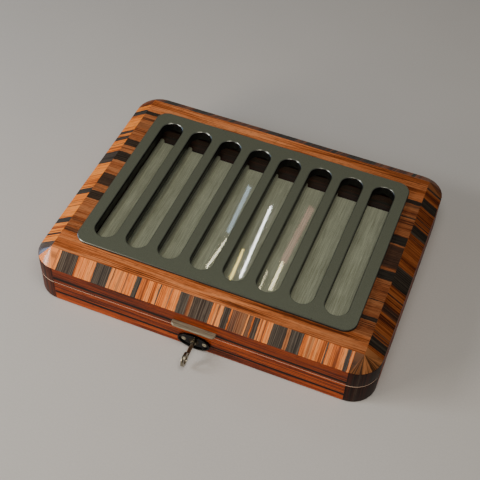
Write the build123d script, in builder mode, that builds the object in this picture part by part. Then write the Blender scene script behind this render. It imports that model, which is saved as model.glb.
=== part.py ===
from build123d import *
from math import cos, pi, radians, sin
import os

# Pen display case: a flat lacquered wooden box with a hinged lid, eight slot windows over
# eight pen channels, a pull tab, and a small key lock.
# All sizes are in millimetres. X runs along the row of pens, +Y points to the hinges, +Z is up.
# The origin is on the surface that the case rests on, under the middle of the box.

# Pens and windows
pen_count = 8
pen_pitch = 27.0
window_width = 18.5
window_length = 139.7

# Top plate with the windows, and the wooden rim that shows round it
plate_end_border = 9.85
plate_side_border = 10.75
plate_thickness = 2.0
plate_corner_radius = 10.0
plate_bevel = 0.4
rim_end_width = 12.05
rim_side_width = 12.5

# Outer walls: chamfered lid over a plain base, with round corner blocks let in
chamfer_run = 13.35
chamfer_drop = 8.7
cone_facets = 16
corner_radius = 20.0
lid_wall_height = 17.0
base_wall_height = 19.3
seam_gap = 0.3
seam_bevel = 0.5
felt_thickness = 1.0
felt_inset = 2.0

# Lid panel, glass and the dark frame inside both halves
panel_thickness = 9.0
panel_slot_gap = 0.3
glass_thickness = 2.4
glass_lap = 4.0
glass_fit = 0.1
pen_space_end = 0.4
pen_space_side = 2.0

# Pen bed in the base
bottom_thickness = 3.0
batten_height = 9.0
batten_width = 12.0
batten_spacing = 78.0
board_thickness = 3.0
bed_floor_thickness = 6.3
ridge_width = 3.0
ridge_height = 4.5
ridge_round = 1.3
bed_gap = 0.6

# Pull tab on the lid
tab_width = 35.6
tab_reach = 4.8
tab_thickness = 2.0
tab_top_above_seam = 7.3
tab_set_in = 8.0
tab_corner_radius = 3.0
tab_fit = 0.05
tab_screw_spacing = 24.0
tab_screw_set_in = 3.0
tab_screw_length = 6.6

# Butt hinges at the back
hinge_spacing = 150.0
hinge_length = 30.0
leaf_width = 8.0
leaf_thickness = 1.2
knuckle_radius = 2.4
knuckle_stand_off = 0.2
knuckle_gap = 0.3
pin_radius = 1.2
pin_fit = 0.05
pin_head_radius = 1.9
pin_head_thickness = 0.8
hinge_screw_spacing = 18.0
hinge_screw_length = 9.0

# Screws: slotted, countersunk, with many-sided shanks that keep the model light
screw_sides = 16
screw_head_radius = 1.9
screw_shank_radius = 1.0
screw_head_depth = 1.0
screw_slot_width = 0.5
screw_slot_depth = 0.4
screw_fit = 0.05

# Box lock in the base, with its key and the link plate in the lid
lock_height = 9.4
case_width = 44.0
case_wall = 1.0
case_floor_drop = 4.2
cavity_depth = 6.0
case_cover_recess = 0.2
selvage_thickness = 1.5
selvage_ear = 6.0
lock_screw_length = 9.0
cover_screw_length = 4.0
bolt_thickness = 2.0
bolt_foot_above_axis = 1.2
bolt_crown_above_axis = 8.0
bolt_end = 2.6
bolt_shoe = 11.0
bolt_running_gap = 0.06
crank_radius = 4.0
crank_angle = 90.0
crank_thickness = 1.5
crank_to_bolt = 0.2
drive_pin_radius = 1.2
drive_pin_play = 0.3
staple_thickness = 1.8
staple_leg = 1.2
staple_bar = 1.0
staple_play = 0.4
staple_offset = 9.0
tongue_height = 2.0
tongue_rest_gap = 0.5
tongue_spare = 0.5
plug_radius = 4.0
plug_fit = 0.15
neck_radius = 2.6
neck_fit = 0.05
keyway_width = 1.8
keyway_height = 5.2
keyway_depth = 5.8
key_fit = 0.1
escutcheon_width = 26.5
escutcheon_height = 15.6
escutcheon_thickness = 2.0
escutcheon_dish = 0.9
escutcheon_rim = 1.3
escutcheon_screw_spacing = 17.0
escutcheon_screw_length = 4.8
key_shank_radius = 1.5
key_shank_length = 10.6
key_collar_radius = 2.3
key_collar_length = 1.2
bow_length = 11.0
bow_height = 11.6
bow_thickness = 2.0
bow_band = 2.2

# Heights worked out from the sizes above
seam_low = felt_thickness + base_wall_height
seam_high = seam_low + seam_gap
chamfer_foot = seam_high + lid_wall_height
rim_top = chamfer_foot + chamfer_drop
panel_low = rim_top - panel_thickness
bottom_top = felt_thickness + bottom_thickness
batten_top = bottom_top + batten_height
board_top = batten_top + board_thickness
bed_floor = board_top + bed_floor_thickness
ridge_top = bed_floor + ridge_height

# Half sizes in plan
row_half = (pen_count - 1) * pen_pitch / 2 + window_width / 2
plate_x = row_half + plate_end_border
plate_y = window_length / 2 + plate_side_border
panel_x = plate_x + rim_end_width
panel_y = plate_y + rim_side_width
outer_x = panel_x + chamfer_run
outer_y = panel_y + chamfer_run
arc_x = outer_x - corner_radius
arc_y = outer_y - corner_radius
inner_x = pen_count * pen_pitch / 2 + pen_space_side
inner_y = window_length / 2 + pen_space_end
glass_x = inner_x + glass_lap
glass_y = inner_y + glass_lap

# Hinge axis, just behind the back wall and level with the seam
hinge_y = outer_y + knuckle_stand_off + knuckle_radius
hinge_z = (seam_low + seam_high) / 2

# Layers of the lock, counted from the inner face of the front rail
case_back = -panel_y - case_cover_recess
cavity_back = case_back - case_wall
cavity_front = cavity_back - cavity_depth
case_front = cavity_front - case_wall
bolt_middle = (cavity_back + cavity_front) / 2
bolt_front = bolt_middle - bolt_thickness / 2
cavity_x = case_width / 2 - case_wall
cavity_low = lock_height - case_floor_drop
case_low = cavity_low - case_wall
selvage_low = seam_low - selvage_thickness
selvage_x = case_width / 2 + selvage_ear
selvage_screw_x = case_width / 2 + selvage_ear / 2
bolt_travel = 2 * crank_radius * sin(radians(crank_angle / 2))
bolt_low = lock_height + bolt_foot_above_axis
bolt_high = lock_height + bolt_crown_above_axis

os.makedirs("parts", exist_ok=True)


def save(piece, name):
    """Label a finished piece and write it as parts/name.step."""
    piece.part.label = name
    export_step(piece.part, f"parts/{name}.step")


def prism(name, x_range, y_range, z_range):
    """Make and save a plain sawn strip or sheet between three pairs of limits."""
    with BuildPart() as piece:
        with BuildSketch(Plane.XY.offset(z_range[0])):
            with Locations(((x_range[0] + x_range[1]) / 2, (y_range[0] + y_range[1]) / 2)):
                Rectangle(x_range[1] - x_range[0], y_range[1] - y_range[0])
        extrude(amount=z_range[1] - z_range[0])
    save(piece, name)


def ring(radius, height):
    """List the corners of a many-sided ring round the Z axis."""
    turns = [2 * pi * step / screw_sides for step in range(screw_sides)]
    return [(radius * cos(turn), radius * sin(turn), height) for turn in turns]


def screw_shape(length, grow=0.0):
    """Make a countersunk screw that hangs below z = 0; grow makes the pocket that takes it."""
    head = screw_head_radius + grow
    shank = screw_shank_radius + grow
    with BuildPart() as screw:
        ConvexPolyhedron(ring(head, 0) + ring(shank, -screw_head_depth))
        ConvexPolyhedron(ring(shank, -screw_head_depth) + ring(shank, -length - grow))
        if grow == 0:
            with BuildSketch():
                Rectangle(2 * head, screw_slot_width)
            extrude(amount=-screw_slot_depth, mode=Mode.SUBTRACT)
    return screw.part


def screw_group(name, length, places):
    """Save one node that holds a separate screw at each place."""
    with BuildPart() as screws:
        with Locations(*places):
            add(screw_shape(length))
    save(screws, name)


def drill(length, places):
    """Cut the pockets for a group of screws into the piece being made."""
    with Locations(*places):
        add(screw_shape(length, screw_fit), mode=Mode.SUBTRACT)


# Places of the screws: each is a point at the middle of a head, turned so that the shank
# runs down into the base, up into the lid, or back into the front wall
upside_down = (180, 0, 0)
facing_front = (90, 0, 0)
facing_back = (-90, 0, 0)
leaf_middle_y = outer_y - leaf_width / 2
hinge_screw_x = [
    side * hinge_spacing / 2 + step * hinge_screw_spacing / 2 for side in (-1, 1) for step in (-1, 1)
]
base_hinge_screws = [Location((x, leaf_middle_y, seam_low)) for x in hinge_screw_x]
lid_hinge_screws = [Location((x, leaf_middle_y, seam_high), upside_down) for x in hinge_screw_x]
selvage_screws = [Location((side * selvage_screw_x, bolt_middle, seam_low)) for side in (-1, 1)]
link_screws = [
    Location((side * selvage_screw_x, bolt_middle, seam_high), upside_down) for side in (-1, 1)
]
tab_screw_y = -outer_y + tab_screw_set_in
tab_screws = [
    Location((side * tab_screw_spacing / 2, tab_screw_y, seam_high), upside_down) for side in (-1, 1)
]
escutcheon_face = -outer_y - escutcheon_thickness
escutcheon_floor = escutcheon_face + escutcheon_dish
escutcheon_screws = [
    Location((side * escutcheon_screw_spacing / 2, escutcheon_floor, lock_height), facing_front)
    for side in (-1, 1)
]
cover_screw_x = cavity_x - screw_head_radius
cover_screws = [
    Location((side * cover_screw_x, case_back, cavity_low + screw_head_radius), facing_back)
    for side in (-1, 1)
]


# Corner blocks: a round outer corner with a notch for the panel's corner. On the lid the top
# is cut back to the sharp corner of the rim, as a fan of narrow facets between two flat wedges.
def corner_block(name, side_x, side_y, low, high, chamfered):
    """Make and save the corner block on the given sides of the box."""
    top = high + chamfer_drop if chamfered else high
    notch = (side_x * panel_x, side_y * panel_y)
    start = (side_x * outer_x, side_y * arc_y)
    end = (side_x * arc_x, side_y * outer_y)
    middle = (
        side_x * (arc_x + corner_radius * cos(pi / 4)),
        side_y * (arc_y + corner_radius * sin(pi / 4)),
    )
    beside_start = (notch[0], start[1])
    beside_end = (end[0], notch[1])
    with BuildPart() as block:
        with BuildSketch(Plane.XY.offset(low)):
            with BuildLine():
                ThreePointArc(start, middle, end)
                Polyline(end, beside_end, notch, beside_start, start)
            make_face()
        extrude(amount=high - low, dir=(0, 0, 1))
        seam_edge = 0 if chamfered else -1
        chamfer(block.edges().filter_by(GeomType.CIRCLE).group_by(Axis.Z)[seam_edge], seam_bevel)
        if chamfered:
            turns = [radians(90 * step / cone_facets) for step in range(cone_facets + 1)]
            foot = [
                (
                    side_x * (arc_x + corner_radius * cos(turn)),
                    side_y * (arc_y + corner_radius * sin(turn)),
                    high,
                )
                for turn in turns
            ]
            ConvexPolyhedron([*foot, (*notch, high), (*notch, top)])
            ConvexPolyhedron(
                [(*beside_start, high), (*start, high), (*notch, high), (*beside_start, top), (*notch, top)]
            )
            ConvexPolyhedron(
                [(*beside_end, high), (*end, high), (*notch, high), (*beside_end, top), (*notch, top)]
            )
    save(block, name)


corners = {
    "front_left": (-1, -1),
    "front_right": (1, -1),
    "back_left": (-1, 1),
    "back_right": (1, 1),
}
for corner, (side_x, side_y) in corners.items():
    corner_block(f"base_corner_{corner}", side_x, side_y, felt_thickness, seam_low, False)
    corner_block(f"lid_corner_{corner}", side_x, side_y, seam_high, chamfer_foot, True)


def base_profile(side, outer, inner):
    """Draw the end view of a base rail: a plain wall with a small bevel along the seam."""
    Polyline(
        (side * inner, felt_thickness),
        (side * outer, felt_thickness),
        (side * outer, seam_low - seam_bevel),
        (side * (outer - seam_bevel), seam_low),
        (side * inner, seam_low),
        close=True,
    )


def lid_profile(side, outer, inner):
    """Draw the end view of a lid rail: a wall whose top slopes in to the rim of the panel."""
    Polyline(
        (side * inner, seam_high),
        (side * (outer - seam_bevel), seam_high),
        (side * outer, seam_high + seam_bevel),
        (side * outer, chamfer_foot),
        (side * inner, rim_top),
        close=True,
    )


# End rails, left and right
for name, side in (("left", -1), ("right", 1)):
    with BuildPart() as base_end:
        with BuildSketch(Plane.XZ):
            with BuildLine():
                base_profile(side, outer_x, panel_x)
            make_face()
        extrude(amount=arc_y, both=True)
    save(base_end, f"base_rail_{name}")

    with BuildPart() as lid_end:
        with BuildSketch(Plane.XZ):
            with BuildLine():
                lid_profile(side, outer_x, panel_x)
            make_face()
        extrude(amount=arc_y, both=True)
    save(lid_end, f"lid_rail_{name}")


def leaf_seats(low):
    """Cut the two shallow seats for the hinge leaves into the back rail being made."""
    with Locations(*[(side * hinge_spacing / 2, leaf_middle_y, low) for side in (-1, 1)]):
        Box(
            hinge_length,
            leaf_width,
            leaf_thickness,
            align=(Align.CENTER, Align.CENTER, Align.MIN),
            mode=Mode.SUBTRACT,
        )


# Back rails, with the seats for the hinge leaves
with BuildPart() as base_rail_back:
    with BuildSketch(Plane.YZ):
        with BuildLine():
            base_profile(1, outer_y, panel_y)
        make_face()
    extrude(amount=arc_x, both=True)
    leaf_seats(seam_low - leaf_thickness)
    drill(hinge_screw_length, base_hinge_screws)
save(base_rail_back, "base_rail_back")

with BuildPart() as lid_rail_back:
    with BuildSketch(Plane.YZ):
        with BuildLine():
            lid_profile(1, outer_y, panel_y)
        make_face()
    extrude(amount=arc_x, both=True)
    leaf_seats(seam_high)
    drill(hinge_screw_length, lid_hinge_screws)
save(lid_rail_back, "lid_rail_back")

# Base front rail, with the mortise for the lock case, the seat of its selvage, and the bore
# for the lock plug
selvage_y = (case_back + case_front) / 2
selvage_depth = case_back - case_front


def open_seat(width, low, height):
    """Cut a seat for the lock into the front rail being made, open to the rail's inner face."""
    front = case_front - screw_fit
    with Locations((0, front, low)):
        Box(
            width,
            -panel_y - front,
            height,
            align=(Align.CENTER, Align.MIN, Align.MIN),
            mode=Mode.SUBTRACT,
        )


with BuildPart() as base_rail_front:
    with BuildSketch(Plane.YZ):
        with BuildLine():
            base_profile(-1, outer_y, panel_y)
        make_face()
    extrude(amount=arc_x, both=True)
    open_seat(case_width + 2 * screw_fit, case_low - screw_fit, seam_low - case_low + screw_fit)
    open_seat(2 * (selvage_x + screw_fit), selvage_low, selvage_thickness)
    with BuildSketch(Plane.XZ.offset(outer_y)):
        with Locations((0, lock_height)):
            Circle(plug_radius + plug_fit)
    extrude(amount=-chamfer_run, mode=Mode.SUBTRACT)
    drill(lock_screw_length, selvage_screws)
    drill(escutcheon_screw_length, escutcheon_screws)
save(base_rail_front, "base_rail_front")

# Lid front rail, with the slot for the pull tab and the seat of the link plate
tab_high = seam_high + tab_top_above_seam
tab_low = tab_high - tab_thickness
with BuildPart() as lid_rail_front:
    with BuildSketch(Plane.YZ):
        with BuildLine():
            lid_profile(-1, outer_y, panel_y)
        make_face()
    extrude(amount=arc_x, both=True)
    with BuildSketch(Plane.XY.offset(tab_low - tab_fit)):
        with Locations((0, -outer_y + tab_set_in / 2)):
            Rectangle(tab_width + 2 * tab_fit, tab_set_in + 2 * tab_fit)
    extrude(amount=tab_thickness + 2 * tab_fit, mode=Mode.SUBTRACT)
    open_seat(2 * (selvage_x + screw_fit), seam_high, selvage_thickness)
    drill(lock_screw_length, link_screws)
    drill(tab_screw_length, tab_screws)
save(lid_rail_front, "lid_rail_front")

# Lid panel: windows cut through it, and a rebate underneath for the glass
with BuildPart() as lid_top_panel:
    with BuildSketch(Plane.XY.offset(panel_low)):
        Rectangle(2 * panel_x, 2 * panel_y)
        with GridLocations(pen_pitch, 0, pen_count, 1):
            SlotOverall(
                window_length + 2 * panel_slot_gap,
                window_width + 2 * panel_slot_gap,
                rotation=90,
                mode=Mode.SUBTRACT,
            )
    extrude(amount=panel_thickness)
    with BuildSketch(Plane.XY.offset(panel_low)):
        Rectangle(2 * (glass_x + glass_fit), 2 * (glass_y + glass_fit))
    extrude(amount=glass_thickness + glass_fit, mode=Mode.SUBTRACT)
save(lid_top_panel, "lid_top_panel")

prism("window_glass", (-glass_x, glass_x), (-glass_y, glass_y), (panel_low, panel_low + glass_thickness))

# Window plate: one sheet with eight round-ended windows and a fine bevel round its edge
with BuildPart() as window_plate:
    with BuildSketch(Plane.XY.offset(rim_top)):
        RectangleRounded(2 * plate_x, 2 * plate_y, plate_corner_radius)
        with GridLocations(pen_pitch, 0, pen_count, 1):
            SlotOverall(window_length, window_width, rotation=90, mode=Mode.SUBTRACT)
    extrude(amount=plate_thickness)
    chamfer(window_plate.faces().sort_by(Axis.Z)[-1].outer_wire().edges(), plate_bevel)
save(window_plate, "window_plate")

# Dark frames inside the lid and the base: long strips front and back, short ones between
for prefix, low, high in (("lid_lining", seam_high, panel_low), ("tray_frame", bottom_top, seam_low)):
    prism(f"{prefix}_front", (-panel_x, panel_x), (-panel_y, -inner_y), (low, high))
    prism(f"{prefix}_back", (-panel_x, panel_x), (inner_y, panel_y), (low, high))
    prism(f"{prefix}_left", (-panel_x, -inner_x), (-inner_y, inner_y), (low, high))
    prism(f"{prefix}_right", (inner_x, panel_x), (-inner_y, inner_y), (low, high))

# Floor of the base, the felt under it, and the three battens that lift the pen bed
prism("base_bottom_panel", (-panel_x, panel_x), (-panel_y, panel_y), (felt_thickness, bottom_top))
with BuildPart() as base_felt:
    with BuildSketch():
        RectangleRounded(
            2 * (outer_x - felt_inset),
            2 * (outer_y - felt_inset),
            corner_radius - felt_inset,
        )
    extrude(amount=felt_thickness)
save(base_felt, "base_felt")
for name, step in (("left", -1), ("middle", 0), ("right", 1)):
    centre = step * batten_spacing
    prism(
        f"tray_batten_{name}",
        (centre - batten_width / 2, centre + batten_width / 2),
        (-inner_y, inner_y),
        (bottom_top, batten_top),
    )

# Pen bed: a board that carries a soft bed with eight flat channels between rounded ridges
bed_x = inner_x - bed_gap
bed_y = inner_y - bed_gap
prism("tray_board", (-bed_x, bed_x), (-bed_y, bed_y), (batten_top, board_top))
with BuildPart() as pen_bed:
    with BuildSketch(Plane.XZ) as bed_section:
        with Locations((0, (board_top + ridge_top) / 2)):
            Rectangle(2 * bed_x, ridge_top - board_top)
        with Locations((0, bed_floor)):
            with GridLocations(pen_pitch, 0, pen_count, 1):
                Rectangle(
                    pen_pitch - ridge_width,
                    ridge_height,
                    align=(Align.CENTER, Align.MIN),
                    mode=Mode.SUBTRACT,
                )
        ridge_corners = bed_section.vertices().group_by(Axis.Y)[-1]
        fillet(ridge_corners, min(ridge_round, 0.45 * ridge_width, 0.35 * ridge_height))
    extrude(amount=bed_y, both=True)
save(pen_bed, "pen_bed")

# Pull tab: a flat plate with rounded front corners, let into the lid and screwed from below
with BuildPart() as pull_tab:
    with BuildSketch(Plane.XY.offset(tab_low)) as tab_plan:
        with Locations((0, -outer_y + (tab_set_in - tab_reach) / 2)):
            Rectangle(tab_width, tab_set_in + tab_reach)
        fillet(tab_plan.vertices().group_by(Axis.Y)[0], tab_corner_radius)
    extrude(amount=tab_thickness)
    front_edges = pull_tab.edges().filter_by(Axis.X).group_by(Axis.Y)[0]
    chamfer(front_edges, plate_bevel)
    drill(tab_screw_length, tab_screws)
save(pull_tab, "pull_tab")
screw_group("pull_tab_screws", tab_screw_length, tab_screws)


def hinge_leaf(name, side, low, spans, screws):
    """Make and save one leaf: a flat plate, a web and knuckle on each span, and its screw holes."""
    middle = side * hinge_spacing / 2
    with BuildPart() as leaf:
        with BuildSketch(Plane.XY.offset(low)):
            with Locations((middle, leaf_middle_y)):
                Rectangle(hinge_length, leaf_width)
        extrude(amount=leaf_thickness)
        for start, end in spans:
            with BuildSketch(Plane.YZ.offset(middle + start)):
                with Locations((hinge_y, hinge_z)):
                    Circle(knuckle_radius)
                with Locations(((outer_y + hinge_y) / 2, low + leaf_thickness / 2)):
                    Rectangle(hinge_y - outer_y, leaf_thickness)
                with Locations((hinge_y, hinge_z)):
                    Circle(pin_radius + pin_fit, mode=Mode.SUBTRACT)
            extrude(amount=end - start)
        drill(hinge_screw_length, screws)
    save(leaf, name)


# Two butt hinges: the outer knuckles belong to the base leaf and the middle one to the lid leaf
knuckle = (hinge_length - 2 * knuckle_gap) / 3
leaf_half = hinge_length / 2
outer_spans = [(-leaf_half, knuckle - leaf_half), (leaf_half - knuckle, leaf_half)]
middle_span = [(-knuckle / 2, knuckle / 2)]
for name, side in (("left", -1), ("right", 1)):
    near = [place for place in base_hinge_screws if place.position.X * side > 0]
    above = [place for place in lid_hinge_screws if place.position.X * side > 0]
    hinge_leaf(f"hinge_leaf_base_{name}", side, seam_low - leaf_thickness, outer_spans, near)
    hinge_leaf(f"hinge_leaf_lid_{name}", side, seam_high, middle_span, above)
    with BuildPart() as hinge_pin:
        with BuildSketch(Plane.YZ.offset(side * hinge_spacing / 2)):
            with Locations((hinge_y, hinge_z)):
                Circle(pin_radius)
        extrude(amount=hinge_length / 2 + pin_fit, both=True)
        for end in (-1, 1):
            start = side * hinge_spacing / 2 + end * (hinge_length / 2 + pin_fit)
            with BuildSketch(Plane.YZ.offset(start)):
                with Locations((hinge_y, hinge_z)):
                    Circle(pin_head_radius)
            extrude(amount=end * pin_head_thickness)
    save(hinge_pin, f"hinge_pin_{name}")
screw_group("hinge_screws_base", hinge_screw_length, base_hinge_screws)
screw_group("hinge_screws_lid", hinge_screw_length, lid_hinge_screws)

# Places of the lock's moving pieces when it is unlocked: the drive pin stands to the left of
# the axis and the bolt's tongues stop just short of the staples
staple_x = [-staple_offset, staple_offset]
pin_x = -bolt_travel / 2
pin_z = lock_height + crank_radius * cos(radians(crank_angle / 2))
tongue_length = bolt_travel - tongue_rest_gap + tongue_spare
tongue_low = bolt_high - 1.5 * tongue_height
staple_hole_low = tongue_low - staple_play
staple_low = staple_hole_low - staple_bar
staple_width = bolt_thickness + 2 * staple_play + 2 * staple_leg
notch_left = tongue_rest_gap + tongue_length
notch_right = staple_thickness + tongue_rest_gap
notch_low = staple_low - staple_play

# Lock case: a shallow brass box, open at the back, under a selvage with two slots for the
# staples. Shoes at both ends carry the bolt.
with BuildPart() as lock_case:
    with BuildSketch(Plane.XZ.offset(-cavity_back)):
        with Locations((0, case_low)):
            Rectangle(case_width, selvage_low - case_low, align=(Align.CENTER, Align.MIN))
    extrude(amount=cavity_back - case_front)
    with BuildSketch(Plane.XZ.offset(-cavity_back)):
        with Locations((0, cavity_low)):
            Rectangle(2 * cavity_x, selvage_low - cavity_low, align=(Align.CENTER, Align.MIN))
    extrude(amount=cavity_depth, mode=Mode.SUBTRACT)
    with BuildSketch(Plane.XY.offset(selvage_low)):
        with Locations((0, selvage_y)):
            Rectangle(2 * selvage_x, selvage_depth)
        with Locations(*[(x + staple_thickness / 2, bolt_middle) for x in staple_x]):
            Rectangle(
                staple_thickness + 2 * staple_play,
                staple_width + 2 * staple_play,
                mode=Mode.SUBTRACT,
            )
    extrude(amount=selvage_thickness)
    with BuildSketch(Plane.XZ.offset(-cavity_back)):
        for side in (-1, 1):
            with Locations((side * cavity_x, cavity_low)):
                Rectangle(
                    bolt_shoe,
                    bolt_low - bolt_running_gap - cavity_low,
                    align=(Align.MIN if side < 0 else Align.MAX, Align.MIN),
                )
    extrude(amount=cavity_depth)
    with BuildSketch(Plane.XZ.offset(-cavity_front)):
        with Locations((0, lock_height)):
            Circle(neck_radius + neck_fit)
    extrude(amount=case_wall, mode=Mode.SUBTRACT)
    drill(lock_screw_length, selvage_screws)
    drill(cover_screw_length, cover_screws)
save(lock_case, "lock_case")
screw_group("lock_case_screws", lock_screw_length, selvage_screws)

with BuildPart() as lock_cover:
    with BuildSketch(Plane.XZ.offset(-case_back)):
        with Locations((0, case_low)):
            Rectangle(case_width, selvage_low - case_low, align=(Align.CENTER, Align.MIN))
    extrude(amount=case_wall)
    drill(cover_screw_length, cover_screws)
save(lock_cover, "lock_cover")
screw_group("lock_cover_screws", cover_screw_length, cover_screws)

# Lock bolt: a plate with two open notches, each with a tongue that slides through a staple,
# and a slot below for the drive pin
bolt_left = -staple_offset - notch_left - bolt_end
bolt_right = staple_offset + notch_right + bolt_end
with BuildPart() as lock_bolt:
    with BuildSketch(Plane.XZ.offset(-bolt_middle)):
        with Locations(((bolt_left + bolt_right) / 2, (bolt_low + bolt_high) / 2)):
            Rectangle(bolt_right - bolt_left, bolt_high - bolt_low)
        for x in staple_x:
            with Locations((x + (notch_right - notch_left) / 2, notch_low)):
                Rectangle(
                    notch_left + notch_right,
                    bolt_high - notch_low,
                    align=(Align.CENTER, Align.MIN),
                    mode=Mode.SUBTRACT,
                )
            with Locations((x - tongue_rest_gap - tongue_length / 2, tongue_low + tongue_height / 2)):
                Rectangle(tongue_length, tongue_height)
        with Locations((pin_x, bolt_low)):
            Rectangle(
                2 * (drive_pin_radius + drive_pin_play),
                lock_height + crank_radius + drive_pin_radius + drive_pin_play - bolt_low,
                align=(Align.CENTER, Align.MIN),
                mode=Mode.SUBTRACT,
            )
    extrude(amount=bolt_thickness / 2, both=True)
save(lock_bolt, "lock_bolt")

# Link plate in the lid: two staples hang from it into the lock
with BuildPart() as link_plate:
    with BuildSketch(Plane.XY.offset(seam_high)):
        with Locations((0, selvage_y)):
            Rectangle(2 * selvage_x, selvage_depth)
    extrude(amount=selvage_thickness)
    for x in staple_x:
        with BuildSketch(Plane.YZ.offset(x)):
            with Locations((bolt_middle, staple_low)):
                Rectangle(staple_width, seam_high - staple_low, align=(Align.CENTER, Align.MIN))
            with Locations((bolt_middle, staple_hole_low)):
                Rectangle(
                    staple_width - 2 * staple_leg,
                    tongue_height + 2 * staple_play,
                    align=(Align.CENTER, Align.MIN),
                    mode=Mode.SUBTRACT,
                )
        extrude(amount=staple_thickness)
    drill(lock_screw_length, link_screws)
save(link_plate, "link_plate")
screw_group("link_plate_screws", lock_screw_length, link_screws)

# Lock plug: a round plug with a keyway, a neck through the case wall, and a crank whose pin
# drives the bolt
crank_back = bolt_front - crank_to_bolt
crank_front = crank_back - crank_thickness
crank_width = 2 * drive_pin_radius
with BuildPart() as lock_plug:
    with BuildSketch(Plane.XZ.offset(-case_front + plug_fit)):
        with Locations((0, lock_height)):
            Circle(plug_radius)
    extrude(amount=case_front - plug_fit - escutcheon_floor)
    with BuildSketch(Plane.XZ.offset(-crank_front)):
        with Locations((0, lock_height)):
            Circle(neck_radius)
    extrude(amount=crank_front - case_front + plug_fit)
    with BuildSketch(Plane.XZ.offset(-crank_back)):
        with Locations((0, lock_height)):
            Circle(neck_radius)
        with Locations((pin_x, pin_z)):
            Circle(crank_width / 2 + drive_pin_play)
        with Locations(Location((pin_x / 2, (lock_height + pin_z) / 2, 0), (0, 0, crank_angle / 2))):
            Rectangle(crank_width, crank_radius)
    extrude(amount=crank_thickness)
    with BuildSketch(Plane.XZ.offset(-crank_back)):
        with Locations((pin_x, pin_z)):
            Circle(drive_pin_radius)
    extrude(amount=-(crank_to_bolt + bolt_thickness))
    with BuildSketch(Plane.XZ.offset(-escutcheon_floor)):
        with Locations((0, lock_height)):
            Rectangle(keyway_width, keyway_height)
    extrude(amount=-keyway_depth, mode=Mode.SUBTRACT)
save(lock_plug, "lock_plug")

# Escutcheon: an oval dish with a raised rim round the plug, held by two screws
with BuildPart() as lock_escutcheon:
    with BuildSketch(Plane.XZ.offset(outer_y)):
        with Locations((0, lock_height)):
            Ellipse(escutcheon_width / 2, escutcheon_height / 2)
            Circle(plug_radius + plug_fit, mode=Mode.SUBTRACT)
    extrude(amount=escutcheon_thickness)
    with BuildSketch(Plane.XZ.offset(-escutcheon_face)):
        with Locations((0, lock_height)):
            Ellipse(escutcheon_width / 2 - escutcheon_rim, escutcheon_height / 2 - escutcheon_rim)
    extrude(amount=-escutcheon_dish, mode=Mode.SUBTRACT)
    drill(escutcheon_screw_length, escutcheon_screws)
save(lock_escutcheon, "lock_escutcheon")
screw_group("escutcheon_screws", escutcheon_screw_length, escutcheon_screws)

# Key: a flat blade in the keyway, a round shank with a collar, and a flat oval bow
collar_front = escutcheon_floor - key_fit - key_collar_length
bow_back = collar_front - key_shank_length
with BuildPart() as key:
    with BuildSketch(Plane.XZ.offset(-escutcheon_floor + key_fit)):
        with Locations((0, lock_height)):
            Rectangle(keyway_width - 2 * key_fit, keyway_height - 2 * key_fit)
    extrude(amount=-(keyway_depth - key_fit))
    with BuildSketch(Plane.XZ.offset(-escutcheon_floor + key_fit)):
        with Locations((0, lock_height)):
            Circle(key_collar_radius)
    extrude(amount=key_collar_length)
    with BuildSketch(Plane.XZ.offset(-collar_front)):
        with Locations((0, lock_height)):
            Circle(key_shank_radius)
    extrude(amount=key_shank_length + bow_band / 2)
    with BuildSketch(Plane.YZ):
        with Locations((bow_back - bow_length / 2, lock_height)):
            Ellipse(bow_length / 2, bow_height / 2)
            Ellipse(bow_length / 2 - bow_band, bow_height / 2 - bow_band, mode=Mode.SUBTRACT)
    extrude(amount=bow_thickness / 2, both=True)
save(key, "key")
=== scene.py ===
"""Looks of the pen display case: materials, finer pieces, floor, lights and camera.

Units are metres. Only the sizes of patterns and bands are given in millimetres. The frame
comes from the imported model: X along the row of pens, +Y towards the hinges, +Z up, and the
origin under the middle of the box.
"""

import logging
import math
from collections.abc import Sequence
from dataclasses import dataclass, field
from enum import Enum
from typing import Any

import bpy
import numpy as np
from mathutils import Matrix, Vector


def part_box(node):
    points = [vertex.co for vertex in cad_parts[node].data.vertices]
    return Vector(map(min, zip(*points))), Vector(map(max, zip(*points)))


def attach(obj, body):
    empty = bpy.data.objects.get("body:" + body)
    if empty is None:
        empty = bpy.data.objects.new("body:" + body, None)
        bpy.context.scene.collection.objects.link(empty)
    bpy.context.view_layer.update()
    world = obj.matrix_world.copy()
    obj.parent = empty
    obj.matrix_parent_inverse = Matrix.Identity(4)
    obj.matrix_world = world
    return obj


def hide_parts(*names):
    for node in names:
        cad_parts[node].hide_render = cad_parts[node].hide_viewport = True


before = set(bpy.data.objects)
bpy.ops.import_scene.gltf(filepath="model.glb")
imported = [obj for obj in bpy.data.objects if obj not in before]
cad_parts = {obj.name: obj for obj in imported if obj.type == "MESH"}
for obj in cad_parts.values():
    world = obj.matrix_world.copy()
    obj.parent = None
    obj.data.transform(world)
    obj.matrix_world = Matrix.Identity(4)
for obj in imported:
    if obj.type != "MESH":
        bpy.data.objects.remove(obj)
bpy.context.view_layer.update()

log = logging.getLogger("pen_case")
MM = 0.001
Node = bpy.types.Node
Socket = bpy.types.NodeSocket
Source = Node | Socket
Tree = bpy.types.NodeTree
Piece = bpy.types.Object
Colour = tuple[float, float, float, float]
Bands = tuple[tuple[float, float, float], ...]


def linear(code: str) -> Colour:
    """Turn an sRGB hex colour into a linear one.

    Args:
        code: six hex digits after a hash sign.

    Returns:
        The linear red, green and blue, with an alpha of 1.
    """
    parts = (int(code[i : i + 2], 16) / 255 for i in (1, 3, 5))
    red, green, blue = (
        part / 12.92 if part <= 0.04045 else ((part + 0.055) / 1.055) ** 2.4 for part in parts
    )
    return (red, green, blue, 1.0)


def grey(level: float) -> Colour:
    """Give a linear grey with an alpha of 1."""
    return (level, level, level, 1.0)


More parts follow.
